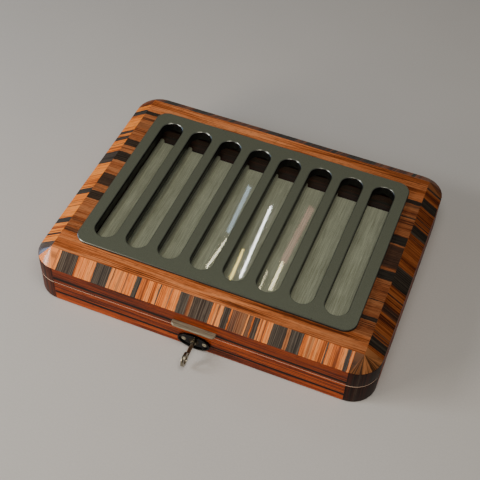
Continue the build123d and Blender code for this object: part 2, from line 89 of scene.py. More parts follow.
def add_node(
    tree: Tree,
    kind: str,
    inputs: dict[str | int, Any] | None = None,
    stops: Sequence[tuple[float, Colour]] = (),
    **settings: Any,
) -> Node:
    """Add one node with its settings, values, ramp stops and links.

    Args:
        tree: node tree that takes the node.
        kind: class name of the node.
        inputs: what goes into each input, by name or number. A socket is linked, a node
            is linked by its first output in use, and anything else is the input's value.
        stops: place and linear colour of each stop, for a colour ramp.
        settings: properties of the node.

    Returns:
        The new node.
    """
    node = tree.nodes.new(kind)
    for name, value in settings.items():
        setattr(node, name, value)
    for key, value in (inputs or {}).items():
        if isinstance(value, Node):
            value = next(output for output in value.outputs if output.enabled)
        if isinstance(value, Socket):
            tree.links.new(value, node.inputs[key])
        else:
            node.inputs[key].default_value = value
    if stops:
        ramp = node.color_ramp
        while len(ramp.elements) < len(stops):
            ramp.elements.new(1.0)
        for element, (place, colour) in zip(ramp.elements, stops):
            element.position = place
            element.color = colour
    return node


def add_object(name: str, data: bpy.types.ID) -> Piece:
    """Put a mesh, lamp or camera into the scene.

    Args:
        name: name of the object.
        data: what it holds.

    Returns:
        The new object, at the origin.
    """
    holder = bpy.data.objects.new(name, data)
    bpy.context.scene.collection.objects.link(holder)
    return holder


def make_piece(
    name: str, points: np.ndarray, faces: Sequence[Sequence[int]] | np.ndarray
) -> Piece:
    """Put a finished point array and its faces into a new object at the origin.

    Args:
        name: name of the piece.
        points: n by 3 array of places, in metres.
        faces: vertex numbers of each face, turned so that it points outwards.

    Returns:
        The new object, with smooth faces.
    """
    mesh = bpy.data.meshes.new(name)
    rows = faces.tolist() if isinstance(faces, np.ndarray) else [list(face) for face in faces]
    mesh.from_pydata(points.tolist(), [], rows)
    mesh.polygons.foreach_set("use_smooth", [True] * len(rows))
    mesh.update()
    return add_object(name, mesh)


def grid_faces(rows: int, columns: int, closed: bool = False) -> np.ndarray:
    """List the quads between neighbouring points of a rows by columns grid.

    Args:
        rows: number of point rows.
        columns: number of points in a row.
        closed: whether the last column joins the first.

    Returns:
        Array of quads, four vertex numbers each.
    """
    numbers = np.arange(rows * columns).reshape(rows, columns)
    if closed:
        numbers = np.hstack([numbers, numbers[:, :1]])
    corners = [numbers[:-1, :-1], numbers[:-1, 1:], numbers[1:, 1:], numbers[1:, :-1]]
    return np.stack(corners, axis=-1).reshape(-1, 4)


def sharpen(piece: Piece, angle: float) -> None:
    """Part the smooth shading where faces meet at more than an angle.

    Args:
        piece: the piece.
        angle: the angle, in degrees.
    """
    piece.modifiers.new("hard_edges", "EDGE_SPLIT").split_angle = math.radians(angle)


@dataclass(frozen=True)
class CaseSizes:
    """Main heights and half sizes of the case, read from the frame."""

    outer_x: float
    outer_y: float
    panel_x: float
    panel_y: float
    arc_x: float
    arc_y: float
    felt_top: float
    seam_low: float
    seam_high: float
    rim_top: float
    chamfer_drop: float = 8.7 * MM
    pen_count: int = 8
    pen_pitch: float = 27.0 * MM
    window_width: float = 18.5 * MM
    window_length: float = 139.7 * MM

    @classmethod
    def from_frame(cls) -> "CaseSizes":
        """Read the sizes from the boxes of the CAD nodes.

        Returns:
            The sizes.
        """
        side_low, side_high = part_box("base_rail_right")
        front_low, front_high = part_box("lid_rail_front")
        return cls(
            outer_x=side_high.x,
            outer_y=-front_low.y,
            panel_x=side_low.x,
            panel_y=-front_high.y,
            arc_x=front_high.x,
            arc_y=side_high.y,
            felt_top=side_low.z,
            seam_low=side_high.z,
            seam_high=front_low.z,
            rim_top=front_high.z,
        )

    @property
    def chamfer_foot(self) -> float:
        """Height at which the chamfer of the lid starts."""
        return self.rim_top - self.chamfer_drop

    @property
    def corner_radius(self) -> float:
        """Radius of the box's upright corners."""
        return self.outer_x - self.arc_x


SIZES = CaseSizes.from_frame()


@dataclass(frozen=True)
class Finish:
    """A named material. Each kind of finish fills in shade()."""

    name: str

    def shade(self, tree: Tree) -> Node:
        """Build the shader. Each kind of finish has its own."""
        raise NotImplementedError

    def material(self) -> bpy.types.Material:
        """Make the material at its first use, and find it by its name from then on.

        Returns:
            The material.
        """
        known = bpy.data.materials.get(self.name)
        if known is not None:
            return known
        made = bpy.data.materials.new(self.name)
        made.use_nodes = True
        tree = made.node_tree
        tree.nodes.clear()
        add_node(tree, "ShaderNodeOutputMaterial", {"Surface": self.shade(tree)})
        return made

    def pattern(
        self,
        tree: Tree,
        width: float,
        length: float,
        axis: str = "X",
        detail: float = 2.0,
        roughness: float = 0.5,
    ) -> Node:
        """Make noise on the object's own coordinates, drawn out along one axis.

        Args:
            tree: node tree of the material.
            width: size of the noise across the axis, in millimetres.
            length: size of the noise along the axis, in millimetres.
            axis: X, Y or Z.
            detail: how many finer layers the noise has.
            roughness: how strong the finer layers are.

        Returns:
            The noise, from 0 to 1.
        """
        place = add_node(tree, "ShaderNodeTexCoord").outputs["Object"]
        scale = [1 / ((length if name == axis else width) * MM) for name in "XYZ"]
        drawn = add_node(tree, "ShaderNodeMapping", {0: place, "Scale": scale})
        inputs = {"Vector": drawn, "Scale": 1.0, "Detail": detail, "Roughness": roughness}
        return add_node(tree, "ShaderNodeTexNoise", inputs)


class Grain(Enum):
    """How a sheet of veneer lies: its coordinates, the axis across its bands and that along."""

    ALONG_X = ("Object", "Y", "X")
    DOWN_FRONT = ("Object", "X", "Z")
    DOWN_SIDE = ("Object", "Y", "Z")
    LEVEL_FRONT = ("Object", "Z", "X")
    LEVEL_SIDE = ("Object", "Z", "Y")
    UP_CORNER = ("UV", "X", "Y")


class Figure(Enum):
    """Figures of ebony: size across and along the grain in millimetres, and a seed.

    Pores and the fringes of bands are taken as 0.1 to 0.3 mm wide, not measured. They are
    drawn several times as wide, because finer ones would not show.
    """

    STREAK = (7.0, 150.0, 0.0)
    FINE_STREAK = (0.8, 60.0, 3.0)
    WOBBLE = (14.0, 22.0, 7.0)
    RIPPLE = (0.7, 5.0, 9.0)
    FRINGE = (0.9, 3.0, 17.0)
    PORE = (0.5, 6.0, 13.0)


class WoodTone(Enum):
    """Colours of a sheet between its dark bands: palest streaks, ground, darkest streaks."""

    # The two lit tones are partly the wood's own and partly painted light: brighter copies for the
    # well-lit front and left faces
    GOLDEN = ("#ff9f55", "#ea7a30", "#8a4012")
    AMBER = ("#ff9a3c", "#f5821e", "#96450f")
    ORANGE = ("#ea9359", "#bf6630", "#602a0e")
    RUSSET = ("#b04e1a", "#82300c", "#3c1404")
    SIENNA = ("#983f10", "#702808", "#361104")
    SHADED = ("#a05a2c", "#7a3a16", "#3c1a08")
    OLIVE = ("#a86c40", "#784926", "#3b2412")
    UMBER = ("#8a5430", "#62341a", "#2e180a")
    MAROON = ("#5e2814", "#441a0c", "#240c06")
    BURNT = ("#3a160a", "#260d05", "#130603")


@dataclass(frozen=True)
class VeneerSheet:
    """One sheet of striped ebony veneer.

    Each dark band is its start, its end and its darkness from 0 to 1, with places in
    millimetres across the grain, and the reach is how far from the middle bands may lie. The
    lean is how far the bands drift across, for each millimetre along the grain. Between the
    first and the last band the wood has the darkness named between. The waver scales how far
    the edges of the bands stray, and the ebony holds the darkest and the palest colour inside
    a dark band.
    """

    grain: Grain
    bands: Bands
    seed: float
    tone: WoodTone = WoodTone.ORANGE
    reach: float = 140.0
    lean: float = 0.0
    between: float = 0.0
    waver: float = 1.0
    ebony: tuple[str, str] = ("#201b16", "#4e463b")


@dataclass(frozen=True)
class StripedVeneer(Finish):
    """Striped ebony veneer under rubbed lacquer: soft gloss over orange and near-black bands.

    The upper sheet covers what lies beyond the split on its axis, and the lower one the rest.
    The wood is painted where it lies lower than painted_below. A painted highlight can run as a
    thin pale line along the lid's lower edge, where its rounded edge would catch the light; its
    span is in millimetres over the seam. Painted shade can darken the wood towards its right end,
    away from the lights, down to the given share of its brightness in the middle. The strays are
    how far, in millimetres, each figure moves the edges of the bands, and the last of them only
    frays them.
    """

    upper: VeneerSheet
    lower: VeneerSheet | None = None
    split_axis: str = "Z"
    split_at: float = 0.0
    gloss: float = 0.3
    gloss_roughness: float = 0.13
    painted_shade_right: float = 1.0
    painted_seam_highlight: bool = False
    seam_highlight_span: tuple[float, float] = (0.07, 0.87)
    seam_highlight_colour: str = "#efcdb2"
    painted_below: float | None = None
    paint: str = "#060505"
    wood_roughness: float = 0.55
    wood_shine: float = 0.15
    streak_places: tuple[float, float, float] = (0.41, 0.48, 0.56)
    ebony_places: tuple[float, float] = (0.42, 0.68)
    pore_places: tuple[float, float] = (0.52, 0.66)
    pore_shade: float = 0.5
    frayed_share: float = 0.3
    strays: tuple[tuple[Figure, float], ...] = (
        (Figure.WOBBLE, 2.4),
        (Figure.RIPPLE, 0.8),
        (Figure.FRINGE, 3.2),
    )
    bands_per_ramp: int = 15

    def places(self, tree: Tree, sheet: VeneerSheet) -> tuple[Source, Source]:
        """Find the coordinates of a sheet.

        The place across the grain moves by the lean times the place along it.

        Args:
            tree: node tree of the material.
            sheet: the sheet of veneer.

        Returns:
            The places across and along the grain, in metres.
        """
        source, across, along = sheet.grain.value
        place = add_node(tree, "ShaderNodeTexCoord").outputs[source]
        parts = add_node(tree, "ShaderNodeSeparateXYZ", {0: place}).outputs
        leaning = {0: parts[along], 1: sheet.lean, 2: parts[across]}
        return add_node(tree, "ShaderNodeMath", leaning, operation="MULTIPLY_ADD"), parts[along]

    def noise(
        self, tree: Tree, places: tuple[Source, Source], figure: Figure, seed: float
    ) -> Node:
        """Make noise that is drawn out along the grain.

        Args:
            tree: node tree of the material.
            places: places across and along the grain.
            figure: the figure that it stands for.
            seed: the sheet's seed.

        Returns:
            The noise, from 0 to 1.
        """
        *sizes, slice_place = figure.value
        across, along = (
            add_node(tree, "ShaderNodeMath", {0: place, 1: 1 / (size * MM)}, operation="MULTIPLY")
            for place, size in zip(places, sizes)
        )
        spot = add_node(
            tree, "ShaderNodeCombineXYZ", {0: across, 1: along, 2: seed + slice_place}
        )
        inputs = {"Vector": spot, "Scale": 1.0, "Detail": 3.0, "Roughness": 0.6}
        return add_node(tree, "ShaderNodeTexNoise", inputs)

    def darkness(self, tree: Tree, sheet: VeneerSheet, place: Source, middle: float) -> Node:
        """Turn the list of dark bands into a darkness, as the largest of a few ramps.

        Args:
            tree: node tree of the material.
            sheet: the sheet of veneer.
            place: place across the grain, in metres.
            middle: place that counts as the middle, in millimetres.

        Returns:
            The darkness, from 0 to 1.
        """
        ends = {1: (middle - sheet.reach) * MM, 2: (middle + sheet.reach) * MM}
        share = add_node(tree, "ShaderNodeMapRange", {0: place, **ends})
        step = self.bands_per_ramp
        groups = [sheet.bands[first : first + step] for first in range(0, len(sheet.bands), step)]
        if sheet.between > 0:
            groups.append(((sheet.bands[0][0], sheet.bands[-1][1], sheet.between),))
        darkest: Node | None = None
        for group in groups:
            stops = [(0.0, grey(0.0))]
            for start, end, depth in group:
                stops.append(((start + sheet.reach) / (2 * sheet.reach), grey(depth)))
                stops.append(((end + sheet.reach) / (2 * sheet.reach), grey(0.0)))
            ramp = add_node(tree, "ShaderNodeValToRGB", {0: share}, stops)
            ramp.color_ramp.interpolation = "CONSTANT"
            if darkest is None:
                darkest = ramp
            else:
                both = {0: darkest, 1: ramp}
                darkest = add_node(tree, "ShaderNodeMath", both, operation="MAXIMUM")
        return darkest

    def sheet_colour(self, tree: Tree, sheet: VeneerSheet) -> Node:
        """Paint one sheet: streaked ground, then dark bands with wavering edges, then pores.

        The edges of the bands move by each stray times its noise, and the middle moves by
        half of that, so that the bands stay where they are on average. A share of the
        darkness follows the frayed edges, and the rest follows the plain ones.

        Args:
            tree: node tree of the material.
            sheet: the sheet of veneer.

        Returns:
            The colour.
        """
        places = self.places(tree, sheet)
        noises = {figure: self.noise(tree, places, figure, sheet.seed) for figure in Figure}
        fine = noises[Figure.FINE_STREAK]
        streaks = {0: 0.5, 2: noises[Figure.STREAK], 3: fine}
        streaked = add_node(tree, "ShaderNodeMix", streaks, data_type="FLOAT")
        tones = [linear(code) for code in reversed(sheet.tone.value)]
        colour = add_node(
            tree, "ShaderNodeValToRGB", {0: streaked}, list(zip(self.streak_places, tones))
        )
        edge, middle = places[0], 0.0
        depths = []
        for figure, stray in self.strays:
            moved = {0: noises[figure], 1: stray * MM * sheet.waver, 2: edge}
            edge = add_node(tree, "ShaderNodeMath", moved, operation="MULTIPLY_ADD")
            middle += 0.5 * stray * sheet.waver
            if figure is not Figure.WOBBLE:
                depths.append(self.darkness(tree, sheet, edge, middle))
        plain_and_frayed = {0: self.frayed_share, 2: depths[0], 3: depths[1]}
        depth = add_node(tree, "ShaderNodeMix", plain_and_frayed, data_type="FLOAT")
        ebony_tones = [linear(code) for code in sheet.ebony]
        ebony = add_node(
            tree, "ShaderNodeValToRGB", {0: fine}, list(zip(self.ebony_places, ebony_tones))
        )
        banded = add_node(tree, "ShaderNodeMix", {0: depth, 6: colour, 7: ebony}, data_type="RGBA")
        low, high = self.pore_places
        pores = add_node(
            tree,
            "ShaderNodeMapRange",
            {0: noises[Figure.PORE], 1: low, 2: high, 3: 1.0, 4: self.pore_shade},
        )
        scaled = {0: banded, "Scale": pores}
        return add_node(tree, "ShaderNodeVectorMath", scaled, operation="SCALE")

    def shade(self, tree: Tree) -> Node:
        """Lay the sheets beside each other under one coat of lacquer.

        Args:
            tree: node tree of the material.

        Returns:
            The shader.
        """
        colour = self.sheet_colour(tree, self.upper)
        place = add_node(tree, "ShaderNodeTexCoord").outputs["Object"]
        parts = add_node(tree, "ShaderNodeSeparateXYZ", {0: place}).outputs
        if self.lower is not None:
            lower = self.sheet_colour(tree, self.lower)
            split = {0: parts[self.split_axis], 1: self.split_at}
            above = add_node(tree, "ShaderNodeMath", split, operation="GREATER_THAN")
            sheets = {0: above, 6: lower, 7: colour}
            colour = add_node(tree, "ShaderNodeMix", sheets, data_type="RGBA")
        # Painted shade: the colour darkens towards the right end, away from the lights
        if self.painted_shade_right < 1:
            fading = {0: parts["X"], 1: 0.0, 2: SIZES.panel_x, 3: 1.0, 4: self.painted_shade_right}
            share = add_node(tree, "ShaderNodeMapRange", fading)
            scaled = {0: colour, "Scale": share}
            colour = add_node(tree, "ShaderNodeVectorMath", scaled, operation="SCALE")
        if self.painted_below is not None:
            limit = {0: parts["Z"], 1: self.painted_below}
            bare = add_node(tree, "ShaderNodeMath", limit, operation="GREATER_THAN")
            coats = {0: bare, 6: linear(self.paint), 7: colour}
            colour = add_node(tree, "ShaderNodeMix", coats, data_type="RGBA")
        # Painted highlight: a thin pale line along the lid's lower edge, where its rounded edge
        # would catch the light
        if self.painted_seam_highlight:
            low, high = (SIZES.seam_high + height * MM for height in self.seam_highlight_span)
            span = {0: parts["Z"], 1: (low + high) / 2, 2: (high - low) / 2}
            on_seam_highlight = add_node(tree, "ShaderNodeMath", span, operation="COMPARE")
            highlighted = {0: on_seam_highlight, 6: colour, 7: linear(self.seam_highlight_colour)}
            colour = add_node(tree, "ShaderNodeMix", highlighted, data_type="RGBA")
        inputs = {
            "Base Color": colour,
            "Roughness": self.wood_roughness,
            "Specular IOR Level": self.wood_shine,
            "Coat Weight": self.gloss,
            "Coat Roughness": self.gloss_roughness,
        }
        return add_node(tree, "ShaderNodeBsdfPrincipled", inputs)


@dataclass(frozen=True)
class Grained(Finish):
    """Solid material whose colour, roughness and surface follow one fine pattern.

    The pattern's width, its length along the axis and the height of its relief are in
    millimetres. The roughness is the lowest and the highest value, and the spread is how far
    from the middle of the noise the two colours are reached. As it stands it is stained or
    sanded wood with fine straight grain and a satin surface.
    """

    dark: str
    light: str
    axis: str = "X"
    width: float = 1.2
    length: float = 60.0
    roughness: tuple[float, float] = (0.45, 0.45)
    metallic: float = 0.0
    specular: float = 0.5
    detail: float = 4.0
    layering: float = 0.65
    spread: float = 0.15
    strength: float = 0.2
    height: float = 0.05

    def shade(self, tree: Tree) -> Node:
        """Draw noise out along the axis, and let it move colour, roughness and surface.

        Args:
            tree: node tree of the material.

        Returns:
            The shader.
        """
        grain = self.pattern(tree, self.width, self.length, self.axis, self.detail, self.layering)
        stops = ((0.5 - self.spread, linear(self.dark)), (0.5 + self.spread, linear(self.light)))
        low, high = self.roughness
        relief = {"Strength": self.strength, "Distance": self.height * MM, "Height": grain}
        inputs = {
            "Base Color": add_node(tree, "ShaderNodeValToRGB", {0: grain}, stops),
            "Metallic": self.metallic,
            "Roughness": add_node(tree, "ShaderNodeMapRange", {0: grain, 3: low, 4: high}),
            "Specular IOR Level": self.specular,
            "Normal": add_node(tree, "ShaderNodeBump", relief),
        }
        return add_node(tree, "ShaderNodeBsdfPrincipled", inputs)


@dataclass(frozen=True)
class AnodisedPlate(Grained):
    """Blasted and anodised aluminium: matte, with a barely visible grain.

    Grit marks are taken as 0.05 mm wide, and drawn eight times as coarse so that they show.
    """

    width: float = 0.4
    length: float = 0.4
    roughness: tuple[float, float] = (0.45, 0.55)
    metallic: float = 0.35
    detail: float = 2.0
    layering: float = 0.5
    spread: float = 0.2
    strength: float = 0.12
    height: float = 0.03


@dataclass(frozen=True)
class BrushedMetal(Grained):
    """Plated or bare metal with brush lines along one axis.

    Brush lines are taken as 0.05 mm wide, and drawn several times as coarse to show.
    """

    width: float = 0.25
    length: float = 14.0
    metallic: float = 1.0
    detail: float = 3.0
    layering: float = 0.5
    spread: float = 0.2
    strength: float = 0.15
    height: float = 0.02


@dataclass(frozen=True)
class NappedCloth(Finish):
    """Suede or felt: short nap that lies in soft lighter and darker patches.

    The nap's width is in millimetres. Fibres are taken as 0.05 mm wide, and the nap is drawn
    over ten times as coarse to show. The brushing is how many times longer it is in Y. Painted
    shade can darken the nap along soft lines beside the ridges, a pitch apart in X.
    """

    dark: str
    light: str
    nap: float
    brushing: float = 1.0
    patch: float = 18.0
    sheen: float = 0.25
    patch_share: float = 0.2
    painted_shade_pitch: float = 0.0
    painted_shade_width: float = 1.7 * MM
    painted_shade_level: float = 0.7

    def shade(self, tree: Tree) -> Node:
        """Mix a patch noise with a nap noise, and raise the nap a little.

        Args:
            tree: node tree of the material.

        Returns:
            The shader.
        """
        patches = self.pattern(tree, self.patch, self.patch)
        nap = self.pattern(tree, self.nap, self.nap * self.brushing, "Y", 3.0, 0.7)
        lying = {0: self.patch_share, 2: nap, 3: patches}
        mixed = add_node(tree, "ShaderNodeMix", lying, data_type="FLOAT")
        stops = ((0.3, linear(self.dark)), (0.7, linear(self.light)))
        colour = add_node(tree, "ShaderNodeValToRGB", {0: mixed}, stops)
        # Painted shade: darker lines beside the ridges, where the windows' walls shade the channels
        if self.painted_shade_pitch > 0:
            place = add_node(tree, "ShaderNodeTexCoord").outputs["Object"]
            parts = add_node(tree, "ShaderNodeSeparateXYZ", {0: place}).outputs
            lines = {0: parts["X"], 1: self.painted_shade_pitch / 2}
            gap = add_node(tree, "ShaderNodeMath", lines, operation="PINGPONG")
            depth = {1: self.painted_shade_width * 0.4, 2: self.painted_shade_width, 3: self.painted_shade_level}
            shade = add_node(
                tree,
                "ShaderNodeMapRange",
                {0: gap, **depth, 4: 1.0},
                interpolation_type="SMOOTHSTEP",
            )
            scaled = {0: colour, "Scale": shade}
            colour = add_node(tree, "ShaderNodeVectorMath", scaled, operation="SCALE")
        relief = {"Strength": 0.35, "Distance": 0.2 * MM, "Height": nap}
        inputs = {
            "Base Color": colour,
            "Roughness": 0.95,
            "Specular IOR Level": 0.2,
            "Sheen Weight": self.sheen,
            "Sheen Roughness": 0.5,
            "Normal": add_node(tree, "ShaderNodeBump", relief),
        }
        return add_node(tree, "ShaderNodeBsdfPrincipled", inputs)


@dataclass(frozen=True)
class ClearGlass(Finish):
    """Clear float glass: see-through, with a sharp reflection that grows at low angles.

    The share that is reflected is 4 % face on and grows with the fifth power of the tilt.
    """

    tint: str = "#f7fbf8"
    ior: float = 1.5
    polish: float = 0.02

    def shade(self, tree: Tree) -> Node:
        """Mix a transparent and a glossy shader by the tilt of the surface.

        Args:
            tree: node tree of the material.

        Returns:
            The shader.
        """
        clear = add_node(tree, "ShaderNodeBsdfTransparent", {"Color": linear(self.tint)})
        shine = {"Color": grey(1.0), "Roughness": self.polish}
        gloss = add_node(tree, "ShaderNodeBsdfGlossy", shine)
        tilt = add_node(tree, "ShaderNodeLayerWeight", {"Blend": 0.5}).outputs["Facing"]
        power = add_node(tree, "ShaderNodeMath", {0: tilt, 1: 5.0}, operation="POWER")
        straight = ((self.ior - 1) / (self.ior + 1)) ** 2
        growth = {0: power, 1: 1 - straight, 2: straight}
        share = add_node(tree, "ShaderNodeMath", growth, operation="MULTIPLY_ADD")
        return add_node(tree, "ShaderNodeMixShader", {0: share, 1: clear, 2: gloss})


# Dark bands of each veneered face, read from the photograph and rounded
FRONT_SLOPE: Bands = (
    (-120.0, -119.0, 0.5), (-116.5, -102.5, 0.98), (-94.0, -93.3, 0.4), (-89.5, -88.8, 0.6),
    (-86.5, -73.5, 0.99), (-71.5, -70.8, 0.7), (-66.0, -63.5, 0.45), (-60.5, -59.4, 0.7),
    (-52.5, -48.3, 1.0), (-46.0, -44.0, 0.3), (-33.8, -32.7, 0.99), (-28.0, -27.4, 0.4),
    (-24.5, -23.2, 0.75), (-16.5, -9.5, 0.99), (-9.5, -6.2, 0.72), (-6.2, 9.0, 0.98),
    (11.5, 12.2, 0.4), (14.0, 15.0, 0.85), (17.9, 23.4, 0.99), (24.5, 29.6, 0.82),
    (30.6, 37.0, 0.76), (38.0, 40.9, 0.88), (42.0, 46.0, 0.98), (47.5, 48.6, 0.7),
    (51.2, 52.0, 0.7), (56.0, 67.5, 0.99), (67.5, 70.5, 0.6), (70.5, 80.0, 0.99),
    (85.0, 88.0, 0.45), (97.6, 98.5, 0.95), (104.0, 104.8, 0.4), (113.0, 117.0, 0.99),
    (119.4, 120.4, 0.8),
)
RIGHT_RIM: Bands = (
    (-78.0, -74.0, 0.25), (-64.0, -60.0, 0.98), (-57.0, -51.0, 0.3), (-44.2, -43.2, 0.98),
    (-22.0, -12.5, 1.0), (-9.5, 13.5, 0.9), (15.5, 25.0, 1.0), (46.0, 46.9, 0.99),
    (52.0, 55.0, 0.3), (58.0, 61.0, 0.7), (62.5, 66.5, 0.99),
)
LEFT_RIM: Bands = (
    (-74.0, -70.0, 0.75), (-67.3, -66.5, 0.6), (-62.5, -60.5, 0.6), (-54.0, -50.0, 0.35),
    (-36.0, -27.0, 0.98), (-24.5, -22.5, 0.6), (-19.0, -6.0, 0.95), (7.0, 9.0, 0.3),
    (11.0, 22.0, 0.99), (26.5, 27.2, 0.7), (30.0, 38.5, 0.98), (55.0, 61.0, 0.6),
    (66.0, 68.5, 0.7), (73.0, 77.0, 1.0),
)
RIGHT_SLOPE: Bands = (
    (-91.5, -90.5, 0.95), (-84.0, -75.0, 0.99), (-73.3, -72.4, 0.7), (-70.5, -69.6, 0.7),
    (-52.0, -44.5, 0.75), (-34.2, -33.2, 0.98), (-25.0, -5.0, 0.99), (26.5, 27.5, 0.7),
    (31.0, 41.0, 0.99), (43.0, 43.8, 0.95), (46.0, 46.8, 0.95), (49.0, 49.7, 0.95),
    (63.0, 73.0, 1.0), (84.0, 85.6, 0.98),
)
LEFT_SLOPE: Bands = (
    (-79.5, -77.0, 0.99), (-66.0, -60.0, 1.0), (-46.0, -45.2, 0.7), (-42.0, -41.0, 0.6),
    (-31.0, -25.0, 1.0), (-19.5, -18.8, 0.7), (7.0, 22.5, 0.99), (27.0, 27.7, 0.7),
    (31.0, 32.0, 0.7), (38.0, 43.5, 0.98), (47.0, 50.5, 0.98), (73.0, 79.5, 1.0),
)
LID_WALL: Bands = (
    (21.3, 21.8, 0.6), (22.7, 23.1, 0.6), (23.6, 24.0, 0.5), (24.2, 26.4, 1.0), (30.2, 32.0, 0.3),
)
BASE_WALL: Bands = (
    (8.2, 10.4, 1.0), (11.5, 12.1, 0.8), (13.4, 13.9, 0.65), (15.0, 15.7, 0.85),
    (17.3, 17.9, 0.8), (19.0, 19.4, 0.7),
)
LEFT_STRIPES: Bands = ((-10.0, -8.8, 0.5), (-4.0, -3.4, 0.4))
RIGHT_STRIPES: Bands = ((6.0, 8.5, 0.45), (11.0, 11.6, 0.5))
DARK_HALF: Bands = ((-20.0, -2.0, 0.97),)


def wall_sheet(
    grain: Grain, bands: Bands, seed: float, tone: WoodTone, lean: float
) -> VeneerSheet:
    """Cut a sheet for an upright wall, with thin black lines that run nearly level.

    Args:
        grain: how the sheet lies.
        bands: its dark lines.
        seed: its seed.
        tone: its colours.
        lean: how much its lines rise, for each millimetre along the wall.

    Returns:
        The sheet.
    """
    ebony = ("#050302", "#110b07")
    return VeneerSheet(grain, bands, seed, tone, 50.0, lean, waver=0.12, ebony=ebony)


def corner_sheet(
    seed: float, tone: WoodTone, bands: Bands = LEFT_STRIPES + RIGHT_STRIPES
) -> VeneerSheet:
    """Cut a sheet that goes round a corner block, with its bands upright."""
    return VeneerSheet(Grain.UP_CORNER, bands, seed, tone, 20.0)


def lid_veneer(
    side: str, slope: VeneerSheet, wall: VeneerSheet, gloss: float = 0.3, painted_shade_right: float = 1.0
) -> StripedVeneer:
    """Veneer one rail of the lid, with a sheet on its slope and another on its wall.

    Args:
        side: side of the lid that the rail is on.
        slope: sheet on the chamfer.
        wall: sheet below it.
        gloss: weight of the lacquer.
        painted_shade_right: how dark the right end is against the middle.

    Returns:
        The finish.
    """
    joint = SIZES.chamfer_foot - 0.05 * MM
    name = f"veneer_lid_{side}"
    return StripedVeneer(name, slope, wall, "Z", joint, gloss, painted_shade_right=painted_shade_right, painted_seam_highlight=True)


# Ebony veneer on the lid: the eye gets broad black and orange stripes down the slopes, and on
# the walls a dark red-brown with one black line. The front is the best lit side: its paler
# ebony paints the veil of reflected light that makes its black bands warm grey, and the lit
# tones of the front and left slopes paint part of their light. The shaded tone paints the
# shade on the back and right slopes, the sides away from the window.
FRONT_WALL_SHEET = wall_sheet(Grain.LEVEL_FRONT, LID_WALL, 1.0, WoodTone.SIENNA, 0.0083)
SIDE_WALL_SHEET = wall_sheet(Grain.LEVEL_SIDE, LID_WALL, 2.0, WoodTone.SIENNA, 0.01)
LID_FRONT = lid_veneer(
    "front",
    VeneerSheet(
        Grain.DOWN_FRONT, FRONT_SLOPE, 11.0, WoodTone.GOLDEN, ebony=("#2f2a25", "#6a6256")
    ),
    FRONT_WALL_SHEET,
    gloss=0.14,
    painted_shade_right=0.82,
)
LID_BACK = lid_veneer(
    "back",
    VeneerSheet(Grain.DOWN_FRONT, FRONT_SLOPE, 12.0, WoodTone.SHADED, lean=0.1),
    FRONT_WALL_SHEET,
    gloss=0.08,
)
LID_RIGHT = lid_veneer(
    "right",
    VeneerSheet(Grain.DOWN_SIDE, RIGHT_SLOPE, 13.0, WoodTone.SHADED),
    SIDE_WALL_SHEET,
    gloss=0.1,
)
LID_LEFT = lid_veneer(
    "left", VeneerSheet(Grain.DOWN_SIDE, LEFT_SLOPE, 14.0, WoodTone.AMBER), SIDE_WALL_SHEET
)
# Ebony veneer on the base: red-brown with thin level lines, and hardly any gloss
BASE_FRONT = StripedVeneer(
    "veneer_base_front",
    wall_sheet(Grain.LEVEL_FRONT, BASE_WALL, 5.0, WoodTone.RUSSET, 0.006),
    gloss=0.12,
)
BASE_SIDE = StripedVeneer(
    "veneer_base_side",
    wall_sheet(Grain.LEVEL_SIDE, BASE_WALL, 6.0, WoodTone.RUSSET, 0.008),
    gloss=0.0,
)
# Ebony veneer on the rim: stripes along the row of pens, with painted shade that darkens them
# towards the right end, and black paint inside the windows, which hides how thick the lid is
TOP_PANEL = StripedVeneer(
    "veneer_top_panel",
    VeneerSheet(Grain.ALONG_X, RIGHT_RIM, 21.0, reach=100.0, between=0.4),
    VeneerSheet(Grain.ALONG_X, LEFT_RIM, 21.0, reach=100.0, between=0.4),
    split_axis="X",
    painted_shade_right=0.6,
    painted_below=SIZES.rim_top - 0.3 * MM,
)
# Dark ebony wood round the corners: nearly one brown, with the grain upright, and a painted
# highlight along the lid's lower edge
BLOCK_SIDES = {
    side: StripedVeneer(
        f"veneer_corner_sides_{side}", corner_sheet(seed, tone), gloss=gloss, painted_seam_highlight=True
    )
    for side, seed, tone, gloss in (
        ("left", 32.0, WoodTone.MAROON, 0.08),
        ("right", 34.0, WoodTone.BURNT, 0.04),
    )
}
# Ebony wood on the corners' cones. The one at the front left is polished enough to mirror the
# window, so that its dark half looks blue grey; the others are dull.
BLOCK_CONES = {
    place: StripedVeneer(f"veneer_cone_{place}", corner_sheet(seed, tone), gloss=gloss)
    for place, seed, tone, gloss in (
        ("front_right", 33.0, WoodTone.OLIVE, 0.08),
        ("back_left", 35.0, WoodTone.SHADED, 0.1),
        ("back_right", 37.0, WoodTone.UMBER, 0.1),
    )
}
BLOCK_CONES["front_left"] = StripedVeneer(
    "veneer_cone_front_left",
    corner_sheet(31.0, WoodTone.GOLDEN, DARK_HALF + RIGHT_STRIPES),
    gloss=1.0,
    gloss_roughness=0.22,
)
# Stained hardwood: nearly black, with a red-brown grain where light falls on it
LINING_WOOD = Grained("stained_lining_wood", "#070303", "#4c2016", "X", 2.0)
LINING_WOOD_SIDE = Grained("stained_lining_wood_side", "#070303", "#4c2016", "Y", 2.0)
# Birch plywood, sanded and left bare: pale, dry and even
PLYWOOD = Grained("sanded_birch_plywood", "#a5835a", "#c9a97c", roughness=(0.7, 0.7))
# Pressed wool felt: a black that swallows the light
FELT = NappedCloth("pressed_black_felt", "#0a0a0a", "#1a1a19", 0.6, patch=12.0, sheen=0.15)
# Split suede, brushed along the pens: soft olive grey, painted shade in the channels' corners
SUEDE = NappedCloth(
    "olive_grey_suede", "#a19b87", "#ebe6d4", 0.55, 40.0, painted_shade_pitch=SIZES.pen_pitch
)
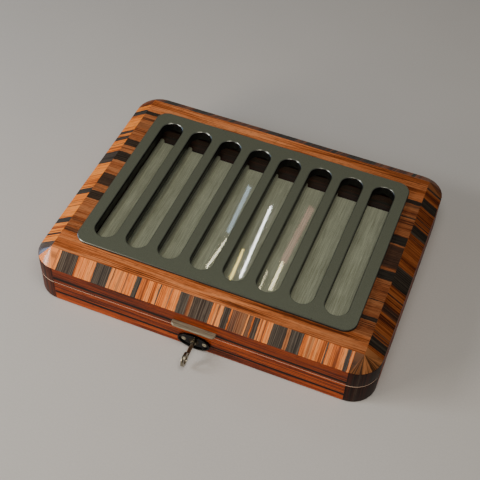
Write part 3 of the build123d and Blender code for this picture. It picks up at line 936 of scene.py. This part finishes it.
# Paper sweep under the case: pale and without any shine
FLOOR = NappedCloth("pale_paper_floor", "#cbc9c5", "#d2d0cc", 1.5, patch=60.0, sheen=0.0)
# Aluminium, blasted and anodised anthracite: a flat green grey that hides reflections
PLATE = AnodisedPlate("anthracite_anodised_aluminium", "#5b6051", "#707564")
# The same, cut bright after anodising: a thin light line along every bevel
PLATE_EDGE = AnodisedPlate(
    "bright_cut_anodised_edge", "#6c6e68", "#8a8c84", roughness=(0.25, 0.35), metallic=1.0
)
# A darker copy of the same, which paints shade on the plate's upright side: nearly black
PLATE_SIDE_SHADE = AnodisedPlate("painted_shade_plate_side", "#23251f", "#2f312a")
# Sprayed matt paint: the windows' walls stay black at every angle. Its speckle is drawn half a
# millimetre coarse, because a finer one would not show.
WINDOW_PAINT = Grained(
    "dull_black_window_paint", "#080808", "#080808", "X", 0.5, 0.5, (0.75, 0.95),
    specular=0.15, detail=2.0, layering=0.5, strength=0.0,
)
# Polished float glass: only its streaks of reflected light show that it is there
GLASS = ClearGlass("clear_float_glass")
# Steel, nickel plated and brushed along its length: warm grey with soft lines
NICKEL = BrushedMetal(
    "brushed_nickel_plate", "#6a6350", "#aea58e", "X", 0.7, roughness=(0.36, 0.5625), metallic=0.5
)
# Stove enamel on steel: deep black with a small sharp glint
ENAMEL = BrushedMetal(
    "gloss_black_enamel", "#010101", "#020202", roughness=(0.096, 0.15), metallic=0.0,
    specular=0.15,
)
# Polished steel: dark and bright spots side by side
KEY_STEEL = BrushedMetal("polished_key_steel", "#77705f", "#a59d8a", "Y", roughness=(0.224, 0.35))
# Zinc-plated steel: bright and cool
SCREW_STEEL = BrushedMetal("bright_screw_steel", "#a9a9a4", "#d0d0ca", roughness=(0.2, 0.3125))
# Nickel-plated steel: two bright points on the black escutcheon
SMALL_SCREW = BrushedMetal("nickelled_small_screw", "#a8a28c", "#d8d2ba", roughness=(0.176, 0.275))
# Brass, bronzed in acid: a brown that is darker than the key
BRONZE = BrushedMetal("bronzed_brass", "#2b241b", "#4a3d2c", roughness=(0.28, 0.4375))
# Brass, brushed satin: a soft yellow, seen only with the lid open and from behind
BRASS = BrushedMetal("satin_brass", "#a88a4e", "#cdb070", roughness=(0.24, 0.375))


def dress(names: Sequence[str], finish: Finish, edge: float = 0.0) -> None:
    """Give CAD nodes their material, and round their edges a little with modifiers.

    Args:
        names: names of the nodes.
        finish: the finish that they take.
        edge: width of the rounding in metres, or 0 for none.
    """
    for name in names:
        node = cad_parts[name]
        for spot in node.material_slots:
            spot.material = finish.material()
        if edge > 0:
            node.modifiers.new("join_facets", "WELD").merge_threshold = 0.001 * MM
            bevel = node.modifiers.new("soften_edges", "BEVEL")
            bevel.width = edge
            bevel.segments = 2
            bevel.limit_method = "ANGLE"
            bevel.angle_limit = math.radians(35)
            bevel.harden_normals = True
        log.info("dressed %s with %s", name, finish.name)


@dataclass
class Walls:
    """Veneered rails of the lid and the base, and the lid's panel."""

    edge: float = 0.25 * MM

    def build(self) -> None:
        """Dress every rail with the sheets that belong to its side."""
        dress(["lid_rail_front"], LID_FRONT, self.edge)
        dress(["lid_rail_back"], LID_BACK, self.edge)
        dress(["lid_rail_right"], LID_RIGHT, self.edge)
        dress(["lid_rail_left"], LID_LEFT, self.edge)
        dress(["base_rail_front", "base_rail_back"], BASE_FRONT, self.edge)
        dress(["base_rail_left", "base_rail_right"], BASE_SIDE, self.edge)
        dress(["lid_top_panel"], TOP_PANEL)


@dataclass
class CornerBlocks:
    """Round corner blocks. Each is a section carried from one rail round to the other.

    The cone shares are where the section is cut between its last rounded edge and its head,
    closer and closer towards the tip.
    """

    arc_steps: int = 28
    wedge_steps: int = 4
    edge: float = 0.5 * MM
    edge_steps: int = 4
    cone_shares: tuple[float, ...] = (0.35, 0.65, 0.85, 0.95, 0.99)

    def stations(self) -> tuple[np.ndarray, np.ndarray]:
        """Lay out the stations of a block in the corner where both sides are positive.

        The foot of the section stays where the side rail ends while its head moves along
        the panel to the panel's corner. Then the foot follows the arc about its centre while
        the head stays. The last stage mirrors the first.

        Returns:
            Arrays of foot and head places in plan, one row for each station.
        """
        reach = np.array([SIZES.outer_x, SIZES.outer_y])
        centre = np.array([SIZES.arc_x, SIZES.arc_y])
        notch = np.array([SIZES.panel_x, SIZES.panel_y])
        slide = np.linspace(0.0, 1.0, self.wedge_steps + 1)[:-1, None]
        turns = np.linspace(0.0, math.pi / 2, self.arc_steps + 1)
        arc = centre + SIZES.corner_radius * np.stack([np.cos(turns), np.sin(turns)], axis=1)
        first_foot = np.broadcast_to([reach[0], centre[1]], (self.wedge_steps, 2))
        first_head = np.array([notch[0], centre[1]]) * (1 - slide) + notch * slide
        last_foot = np.broadcast_to([centre[0], reach[1]], (self.wedge_steps, 2))
        last_head = (np.array([centre[0], notch[1]]) * (1 - slide) + notch * slide)[::-1]
        feet = np.concatenate([first_foot, arc, last_foot])
        still = np.broadcast_to(notch, (self.arc_steps + 1, 2))
        return feet, np.concatenate([first_head, still, last_head])

    def profile(self, chamfered: bool) -> tuple[np.ndarray, np.ndarray]:
        """Draw the section between head and foot, with its edges rounded by short curves.

        Each rounded edge is a quadratic curve between points set back from the corner.

        Args:
            chamfered: whether the block belongs to the lid.

        Returns:
            Share of the way from head to foot, and height, for each point of the section.
        """
        width = SIZES.outer_x - SIZES.panel_x
        if chamfered:
            low, foot, top = SIZES.seam_high, SIZES.chamfer_foot, SIZES.rim_top
        else:
            low, foot, top = SIZES.felt_top, SIZES.seam_low, SIZES.seam_low
        path = np.array([(0.0, low), (width, low), (width, foot), (0.0, top)])
        bend = np.linspace(0.0, 1.0, self.edge_steps)[:, None]
        rounded = [path[:1]]
        for before, corner, after in zip(path[:-2], path[1:-1], path[2:]):
            start = corner + self.edge * (before - corner) / np.linalg.norm(before - corner)
            end = corner + self.edge * (after - corner) / np.linalg.norm(after - corner)
            rounded.append((1 - bend) ** 2 * start + 2 * bend * (1 - bend) * corner + bend**2 * end)
        rise = np.array(self.cone_shares)[:, None]
        rounded.append(rounded[-1][-1:] * (1 - rise) + path[-1:] * rise)
        rounded.append(path[-1:])
        outline = np.concatenate(rounded)
        return outline[:, 0] / width, outline[:, 1]

    def block(self, name: str, side_x: int, side_y: int, body: str, chamfered: bool) -> Piece:
        """Build one corner block.

        Every point lies on the straight line from its station's head to its foot, at the
        section's share of the way and at the section's height.

        Args:
            name: CAD node that the block stands for.
            side_x: -1 for left, 1 for right.
            side_y: -1 for front, 1 for back.
            body: body that it rides on.
            chamfered: whether the block belongs to the lid.

        Returns:
            The new piece.
        """
        feet, heads = self.stations()
        share, height = self.profile(chamfered)
        plan = heads[:, None, :] + (feet - heads)[:, None, :] * share[None, :, None]
        level = np.broadcast_to(height[None, :, None], (*plan.shape[:2], 1))
        points = np.concatenate([plan * np.array([side_x, side_y]), level], axis=2)
        rows, columns = plan.shape[:2]
        faces = grid_faces(rows, columns, closed=True)
        caps = [list(range(columns)), list(range((rows - 1) * columns, rows * columns))]
        mirrored = side_x * side_y < 0
        if mirrored:
            faces = faces[:, ::-1]
        turned = 0 if mirrored else 1
        caps[turned] = caps[turned][::-1]
        piece = make_piece(f"{name}_shaped", points.reshape(-1, 3), faces.tolist() + caps)
        lengths = np.linalg.norm(np.diff(feet, axis=0), axis=1)
        around = np.concatenate([[0.0], np.cumsum(lengths)])
        self.map_grain(piece, around - around.mean(), height)
        piece.modifiers.new("join_stations", "WELD").merge_threshold = 0.002 * MM
        sharpen(piece, 28)
        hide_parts(name)
        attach(piece, body)
        piece.data.materials.append(BLOCK_SIDES[name.split("_")[-1]].material())
        if chamfered:
            piece.data.materials.append(BLOCK_CONES[name.split("corner_")[1]].material())
            middles = np.zeros(3 * len(piece.data.polygons))
            piece.data.polygons.foreach_get("center", middles)
            on_cone = middles[2::3] > SIZES.chamfer_foot
            on_cone[-2:] = False  # the caps at the rails
            piece.data.polygons.foreach_set("material_index", on_cone.astype(np.int32))
        log.info("built %s", piece.name)
        return piece

    def map_grain(self, piece: Piece, around: np.ndarray, height: np.ndarray) -> None:
        """Store the map that the grain follows.

        Its first coordinate is the way round the corner and its second is the height.

        Args:
            piece: the block.
            around: way round the corner at each station.
            height: height of each point of the section.
        """
        mesh = piece.data
        grain = np.stack([np.repeat(around, len(height)), np.tile(height, len(around))], axis=1)
        corners = np.zeros(len(mesh.loops), dtype=np.int32)
        mesh.loops.foreach_get("vertex_index", corners)
        layer = mesh.uv_layers.new(name="grain")
        layer.data.foreach_set("uv", grain[corners].astype(np.float32).ravel())

    def build(self) -> None:
        """Build all eight blocks."""
        for depth, side_y in (("front", -1), ("back", 1)):
            for width, side_x in (("left", -1), ("right", 1)):
                for body in ("base", "lid"):
                    name = f"{body}_corner_{depth}_{width}"
                    self.block(name, side_x, side_y, body, body == "lid")


@dataclass
class RingMesh:
    """Points, faces and numbers of finishes, gathered from rings of points."""

    points: list[np.ndarray] = field(default_factory=list)
    faces: list[np.ndarray] = field(default_factory=list)
    finishes: list[np.ndarray] = field(default_factory=list)
    count: int = 0

    def add_rings(
        self, rings: Sequence[tuple[np.ndarray, float]], bands: Sequence[int], flip: bool
    ) -> None:
        """Join rings of equal length into bands of quads.

        Args:
            rings: places in plan and height of each ring.
            bands: number of the finish of each band between two rings.
            flip: whether the faces are turned round.
        """
        size = len(rings[0][0])
        stack = [np.column_stack([ring, np.full(size, level)]) for ring, level in rings]
        quads = grid_faces(len(rings), size, closed=True) + self.count
        self.points.append(np.concatenate(stack))
        self.faces.append(quads[:, ::-1] if flip else quads)
        self.finishes.append(np.repeat(np.array(bands), size))
        self.count += len(rings) * size


@dataclass
class WindowPlate:
    """Anodised plate: one sheet with eight round-ended windows and fine bevels."""

    corner_radius: float = 10.0 * MM
    bevel: float = 0.45 * MM
    quarter_steps: int = 20
    corner_steps: int = 12

    def slot_outline(self, radius: float, length: float) -> np.ndarray:
        """Trace a round-ended slot: two half circles joined by straight sides.

        Args:
            radius: half width of the slot.
            length: distance between the centres of its ends.

        Returns:
            Array of places in plan, against the clock from the right side's far end.
        """
        turns = np.linspace(0.0, math.pi, 2 * self.quarter_steps + 1)
        far = np.stack([radius * np.cos(turns), radius * np.sin(turns) + length / 2], axis=1)
        return np.concatenate([far, -far])

    def cell_outline(
        self, left: float, right: float, half: float, length: float, rounded: Sequence[bool]
    ) -> np.ndarray:
        """Trace the border of a cell with as many points as its slot has.

        Each quarter of a slot's end answers to the stretch of border from beside the end to
        the corner and on to the middle, and its points are spaced evenly along that.

        Args:
            left: left border, measured from the slot's middle.
            right: right border.
            half: half depth of the plate's flat top.
            length: distance between the centres of the slot's ends.
            rounded: whether the left and the right corners are rounded.

        Returns:
            Array of places in plan, in the order of slot_outline.
        """
        radius = self.corner_radius - self.bevel
        turns = np.linspace(0.0, math.pi / 2, self.corner_steps + 1)
        quarters = []
        for edge, is_round in ((right, rounded[1]), (left, rounded[0])):
            corner = np.array([[edge, half]])
            if is_round:
                across = edge - math.copysign(radius, edge) * (1 - np.cos(turns))
                corner = np.stack([across, half - radius * (1 - np.sin(turns))], axis=1)
            track = np.concatenate([[[edge, length / 2]], corner, [[0.0, half]]])
            steps = np.linalg.norm(np.diff(track, axis=0), axis=1)
            walked = np.concatenate([[0.0], np.cumsum(steps)])
            wanted = np.linspace(0.0, walked[-1], self.quarter_steps + 1)
            quarters.append(
                np.stack([np.interp(wanted, walked, track[:, axis]) for axis in (0, 1)], axis=1)
            )
        far = np.concatenate([quarters[0], quarters[1][::-1][1:]])
        near = np.concatenate([quarters[1] * (1, -1), (quarters[0] * (1, -1))[::-1][1:]])
        return np.concatenate([far, near])

    def build(self) -> Piece:
        """Build the plate cell by cell, then its outer edge, and merge them.

        Returns:
            The new piece.
        """
        low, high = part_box("window_plate")
        half_x, half_y = high.x, high.y
        length = SIZES.window_length - SIZES.window_width
        radius = SIZES.window_width / 2
        slot = self.slot_outline(radius, length)
        wide_slot = self.slot_outline(radius + self.bevel, length)
        mesh = RingMesh()
        flat, edge, paint, side = range(4)
        last = SIZES.pen_count - 1
        for index in range(SIZES.pen_count):
            middle = (index - last / 2) * SIZES.pen_pitch
            left = -half_x + self.bevel - middle if index == 0 else -SIZES.pen_pitch / 2
            right = half_x - self.bevel - middle if index == last else SIZES.pen_pitch / 2
            border = self.cell_outline(
                left, right, half_y - self.bevel, length, (index == 0, index == last)
            )
            move = np.array([middle, 0.0])
            rings = [
                (border + move, high.z),
                (wide_slot + move, high.z),
                (slot + move, high.z - self.bevel),
                (slot + move, low.z),
                (border + move, low.z),
            ]
            mesh.add_rings(rings, (flat, edge, paint, paint), flip=True)
        # The outer edge is turned by a quarter step, so that no point lies on an axis
        turns = np.linspace(0.0, 2 * math.pi, 4 * self.corner_steps + 1)[:-1]
        turns = turns + math.pi / (8 * self.corner_steps)
        unit = np.stack([np.cos(turns), np.sin(turns)], axis=1)
        corner = np.sign(unit) * (np.array([half_x, half_y]) - self.corner_radius)
        outer = corner + unit * self.corner_radius
        inner = corner + unit * (self.corner_radius - self.bevel)
        rings = [(inner, high.z), (outer, high.z - self.bevel), (outer, low.z), (inner, low.z)]
        mesh.add_rings(rings, (edge, side, side), flip=False)
        piece = make_piece(
            "window_plate_bevelled", np.concatenate(mesh.points), np.concatenate(mesh.faces)
        )
        piece.modifiers.new("join_cells", "WELD").merge_threshold = 0.002 * MM
        sharpen(piece, 30)
        for finish in (PLATE, PLATE_EDGE, WINDOW_PAINT, PLATE_SIDE_SHADE):
            piece.data.materials.append(finish.material())
        piece.data.polygons.foreach_set("material_index", np.concatenate(mesh.finishes))
        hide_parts("window_plate")
        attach(piece, "lid")
        log.info("built %s", piece.name)
        return piece


@dataclass
class PenBed:
    """Suede-wrapped bed: eight flat channels between rounded ridges."""

    ridge_width: float = 3.0 * MM
    ridge_round: float = 1.3 * MM
    ridge_lean: float = 0.02 * MM
    cove: float = 0.6 * MM
    end_round: float = 1.0 * MM
    floor_above_base: float = 6.3 * MM
    swell: float = 0.1 * MM
    swell_turns: tuple[float, float] = (61.0, 47.0)  # radians for each metre in X and Y
    swell_start: tuple[float, float] = (1.3, 0.4)
    steps_along: int = 120
    curve_steps: int = 7
    end_steps: int = 6
    floor_steps: int = 20
    nearly: float = 0.01 * MM

    def section(self, rise: float) -> tuple[np.ndarray, np.ndarray]:
        """Draw half a channel, from the middle of a ridge to the middle of the channel.

        The ridge has a flat crown and a quarter circle, then a steep side, and a small
        quarter circle turns that into the flat floor.

        Args:
            rise: height of the ridge over the floor.

        Returns:
            Distance from the ridge's middle and height over the floor, for each point.
        """
        turns = np.linspace(0.0, math.pi / 2, self.curve_steps)
        side = self.ridge_width / 2
        crown_x = side - self.ridge_round * (1 - np.sin(turns))
        crown_z = rise - self.ridge_round * (1 - np.cos(turns))
        foot_x = side + self.cove * (1 - np.cos(turns)) + self.ridge_lean
        foot_z = self.cove * (1 - np.sin(turns))
        floor_x = np.linspace(foot_x[-1], SIZES.pen_pitch / 2, self.floor_steps)[1:]
        gap = np.concatenate([[0.0], crown_x, foot_x, floor_x])
        lift = np.concatenate([[rise], crown_z, foot_z, np.zeros(len(floor_x))])
        return gap, lift

    def top(self, low: Vector, high: Vector) -> np.ndarray:
        """Work out the top of the bed as a height field.

        The height is the section's, rolled off at both ends of the channels by a quarter
        circle. The product of a sine in X and a sine in Y gives the floor the small swell of
        hand-laid suede.

        Args:
            low: lowest corner of the bed's box.
            high: highest corner of the bed's box.

        Returns:
            Grid of places, with rows along Y and columns along X.
        """
        floor = low.z + self.floor_above_base
        gap, lift = self.section(high.z - floor)
        ridges = (np.arange(SIZES.pen_count + 1) - SIZES.pen_count / 2) * SIZES.pen_pitch
        section_x = (ridges[:, None] + np.concatenate([-gap[:0:-1], gap])).ravel()
        section_z = np.tile(np.concatenate([lift[:0:-1], lift]), len(ridges))
        across = np.unique(section_x.round(8))
        across = across[(across > low.x + self.nearly) & (across < high.x - self.nearly)]
        across = np.concatenate([[low.x], across, [high.x]])
        raised = np.interp(across, section_x, section_z)
        turns = np.linspace(0.0, math.pi / 2, self.end_steps)[:-1]
        ends = self.end_round * (1 - np.cos(turns))
        along = np.concatenate(
            [
                low.y + ends,
                np.linspace(low.y + self.end_round, high.y - self.end_round, self.steps_along),
                (high.y - ends)[::-1],
            ]
        )
        grid_x, grid_y = np.meshgrid(across, along)
        wave_x, wave_y = (
            np.sin(grid * turns + start)
            for grid, turns, start in zip((grid_x, grid_y), self.swell_turns, self.swell_start)
        )
        end = np.clip((high.y - np.abs(grid_y)) / self.end_round, 0.0, 1.0)
        roll = self.end_round * (1 - np.sqrt(1 - (1 - end) ** 2))
        on_floor = (raised < self.nearly) * np.clip((end - 0.5) * 2, 0.0, 1.0)
        height = floor + raised + self.swell * (wave_x * wave_y) * on_floor - roll
        return np.stack([grid_x, grid_y, height], axis=-1)

    def build(self) -> Piece:
        """Build the top and close it with a skirt and a floor.

        Returns:
            The new piece.
        """
        low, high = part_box("pen_bed")
        top = self.top(low, high)
        rows, columns = top.shape[:2]
        numbers = np.arange(rows * columns).reshape(rows, columns)
        rim = np.concatenate(
            [numbers[0], numbers[1:, -1], numbers[-1, -2::-1], numbers[-2:0:-1, 0]]
        )
        skirt = top.reshape(-1, 3)[rim].copy()
        skirt[:, 2] = low.z
        foot = np.arange(len(rim)) + rows * columns
        sides = np.stack([rim, foot, np.roll(foot, -1), np.roll(rim, -1)], axis=1)
        faces = [*grid_faces(rows, columns).tolist(), *sides.tolist(), foot[::-1].tolist()]
        piece = make_piece("pen_bed_suede", np.concatenate([top.reshape(-1, 3), skirt]), faces)
        sharpen(piece, 60)
        piece.data.materials.append(SUEDE.material())
        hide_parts("pen_bed")
        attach(piece, "base")
        log.info("built %s", piece.name)
        return piece


@dataclass
class InnerPieces:
    """Dark frames, plywood, felt and glass."""

    def build(self) -> None:
        """Dress the frames, the boards under the bed, the felt and the glass."""
        for prefix in ("lid_lining", "tray_frame"):
            dress([f"{prefix}_front", f"{prefix}_back"], LINING_WOOD)
            dress([f"{prefix}_left", f"{prefix}_right"], LINING_WOOD_SIDE)
        battens = [f"tray_batten_{place}" for place in ("left", "middle", "right")]
        dress([*battens, "tray_board", "base_bottom_panel"], PLYWOOD)
        dress(["base_felt"], FELT)
        dress(["window_glass"], GLASS)


@dataclass
class Hardware:
    """Pull tab, hinges, lock and key."""

    edge: float = 0.15 * MM
    tab_edge: float = 0.3 * MM

    def build(self) -> None:
        """Dress every metal piece."""
        sides = ("left", "right")
        dress(["pull_tab"], NICKEL, self.tab_edge)
        dress([f"hinge_leaf_{body}_{side}" for body in ("base", "lid") for side in sides], BRASS)
        dress([f"hinge_pin_{side}" for side in sides], BRASS)
        dress(["lock_case", "lock_cover", "lock_bolt", "link_plate"], BRASS)
        dress(["lock_plug"], BRONZE)
        dress(["lock_escutcheon"], ENAMEL, self.edge)
        dress(["key"], KEY_STEEL, self.edge)
        screws = ["pull_tab_screws", "hinge_screws_base", "hinge_screws_lid", "lock_case_screws"]
        dress([*screws, "lock_cover_screws", "link_plate_screws"], SCREW_STEEL)
        dress(["escutcheon_screws"], SMALL_SCREW)


@dataclass(frozen=True)
class SoftLight:
    """Square soft light that points at the case; its radiance is how bright its face looks."""

    name: str
    place: tuple[float, float, float]
    size: float
    radiance: float
    colour: str


@dataclass(frozen=True)
class Streak:
    """Slim tube light that shows as a streak in the glass, with its ends in plan."""

    name: str
    start: tuple[float, float]
    end: tuple[float, float]
    width: float
    radiance: float
    colour: str


@dataclass
class Studio:
    """Pale floor, soft lights and the camera of the photograph."""

    floor_size: float = 6.0
    lens: float = 69.83
    place: tuple[float, float, float] = (0.16318, -0.47463, 0.5957)
    right: tuple[float, float, float] = (0.92735, 0.37256, 0.03485)
    up: tuple[float, float, float] = (-0.30381, 0.69530, 0.65135)
    soft_lights: tuple[SoftLight, ...] = (
        SoftLight("overhead_softbox", (0.2, -0.38, 1.0), 0.55, 5.5, "#fff6ea"),
        SoftLight("key_softbox", (-0.9, -0.97, 0.32), 0.45, 15.0, "#fff0de"),
        SoftLight("left_lamp", (-0.93, -0.52, 0.58), 0.34, 16.0, "#ffffff"),
        SoftLight("left_window", (-1.2, 0.06, 0.2), 0.3, 6.0, "#b4d2ff"),
    )
    strip_height: float = 1.7
    streaks: tuple[Streak, ...] = (
        Streak("blue_strip", (-0.533, 1.554), (-0.523, 1.338), 0.012, 6.0, "#bcd4ea"),
        Streak("cream_strip", (-0.515, 1.313), (-0.529, 1.179), 0.006, 20.0, "#fff4d0"),
        Streak("white_strip", (-0.437, 1.498), (-0.42, 1.185), 0.006, 44.0, "#ffffff"),
        Streak("yellow_strip", (-0.452, 1.293), (-0.445, 1.167), 0.006, 24.0, "#ffe07a"),
        Streak("pink_strip", (-0.314, 1.548), (-0.321, 1.293), 0.02, 2.4, "#ffb4a6"),
        Streak("ivory_strip", (-0.321, 1.293), (-0.319, 1.175), 0.009, 20.0, "#fff0c0"),
        Streak("thin_strip", (-0.353, 1.243), (-0.35, 1.16), 0.005, 12.0, "#fff2c4"),
    )
    room_colour: str = "#d8dade"
    room_light: float = 0.1

    def camera(self) -> None:
        """Put the camera where the photograph was taken from."""
        lens = bpy.data.cameras.new("camera")
        lens.lens = self.lens
        lens.sensor_width = 36.0
        holder = add_object("camera", lens)
        right, up = Vector(self.right).normalized(), Vector(self.up).normalized()
        turn = Matrix((right, up, right.cross(up))).transposed().to_4x4()
        holder.matrix_world = Matrix.Translation(self.place) @ turn
        bpy.context.scene.camera = holder

    def floor(self) -> None:
        """Lay a large pale floor under the case."""
        half = self.floor_size / 2
        corners = np.array([[-half, -half, 0], [half, -half, 0], [half, half, 0], [-half, half, 0]])
        piece = make_piece("studio_floor", corners, [[0, 1, 2, 3]])
        piece.data.materials.append(FLOOR.material())

    def hang(
        self,
        light: SoftLight | Streak,
        place: Vector,
        turn: Matrix,
        width: float,
        length: float,
    ) -> None:
        """Hang one area light.

        A diffuse face sends out pi times its area times its radiance.

        Args:
            light: its name, radiance and colour.
            place: middle of its face.
            turn: rotation of its face, which shines along its own -Z.
            width: size of its face in its own X.
            length: size of its face in its own Y.
        """
        lamp = bpy.data.lights.new(light.name, "AREA")
        lamp.shape = "RECTANGLE"
        lamp.size, lamp.size_y = width, length
        lamp.energy = math.pi * width * length * light.radiance
        lamp.color = linear(light.colour)[:3]
        add_object(light.name, lamp).matrix_world = Matrix.Translation(place) @ turn.to_4x4()

    def soft_light(self, light: SoftLight) -> None:
        """Hang one square soft light that points at the case.

        Args:
            light: the light.
        """
        turn = (-Vector(light.place)).to_track_quat("-Z", "Y").to_matrix()
        self.hang(light, Vector(light.place), turn, light.size, light.size)

    def strip_light(self, streak: Streak) -> None:
        """Hang one slim tube light that shows as a streak in the glass.

        The tube lies level between its ends, and is turned about its own length until its
        face looks at the case.

        Args:
            streak: the streak.
        """
        start, end = streak.start, streak.end
        along = Vector((end[0] - start[0], end[1] - start[1], 0.0))
        middle = Vector(((start[0] + end[0]) / 2, (start[1] + end[1]) / 2, self.strip_height))
        length = along.normalized()
        side = length.cross(middle.normalized()).normalized()
        turn = Matrix((side, length, side.cross(length))).transposed()
        self.hang(streak, middle, turn, streak.width, along.length)

    def build(self) -> None:
        """Set up the camera, the floor, the lights and the soft surroundings."""
        self.camera()
        self.floor()
        for light in self.soft_lights:
            self.soft_light(light)
        for streak in self.streaks:
            self.strip_light(streak)
        world = bpy.data.worlds.new("soft_room")
        world.use_nodes = True
        room = world.node_tree.nodes["Background"].inputs
        room[0].default_value = linear(self.room_colour)
        room[1].default_value = self.room_light
        bpy.context.scene.world = world


def main() -> None:
    """Build every sub-assembly in order."""
    logging.basicConfig(level=logging.INFO, format="%(name)s: %(message)s")
    for part in (
        Studio(), Walls(), CornerBlocks(), WindowPlate(), PenBed(), InnerPieces(), Hardware()
    ):
        part.build()


if __name__ == "__main__":
    main()
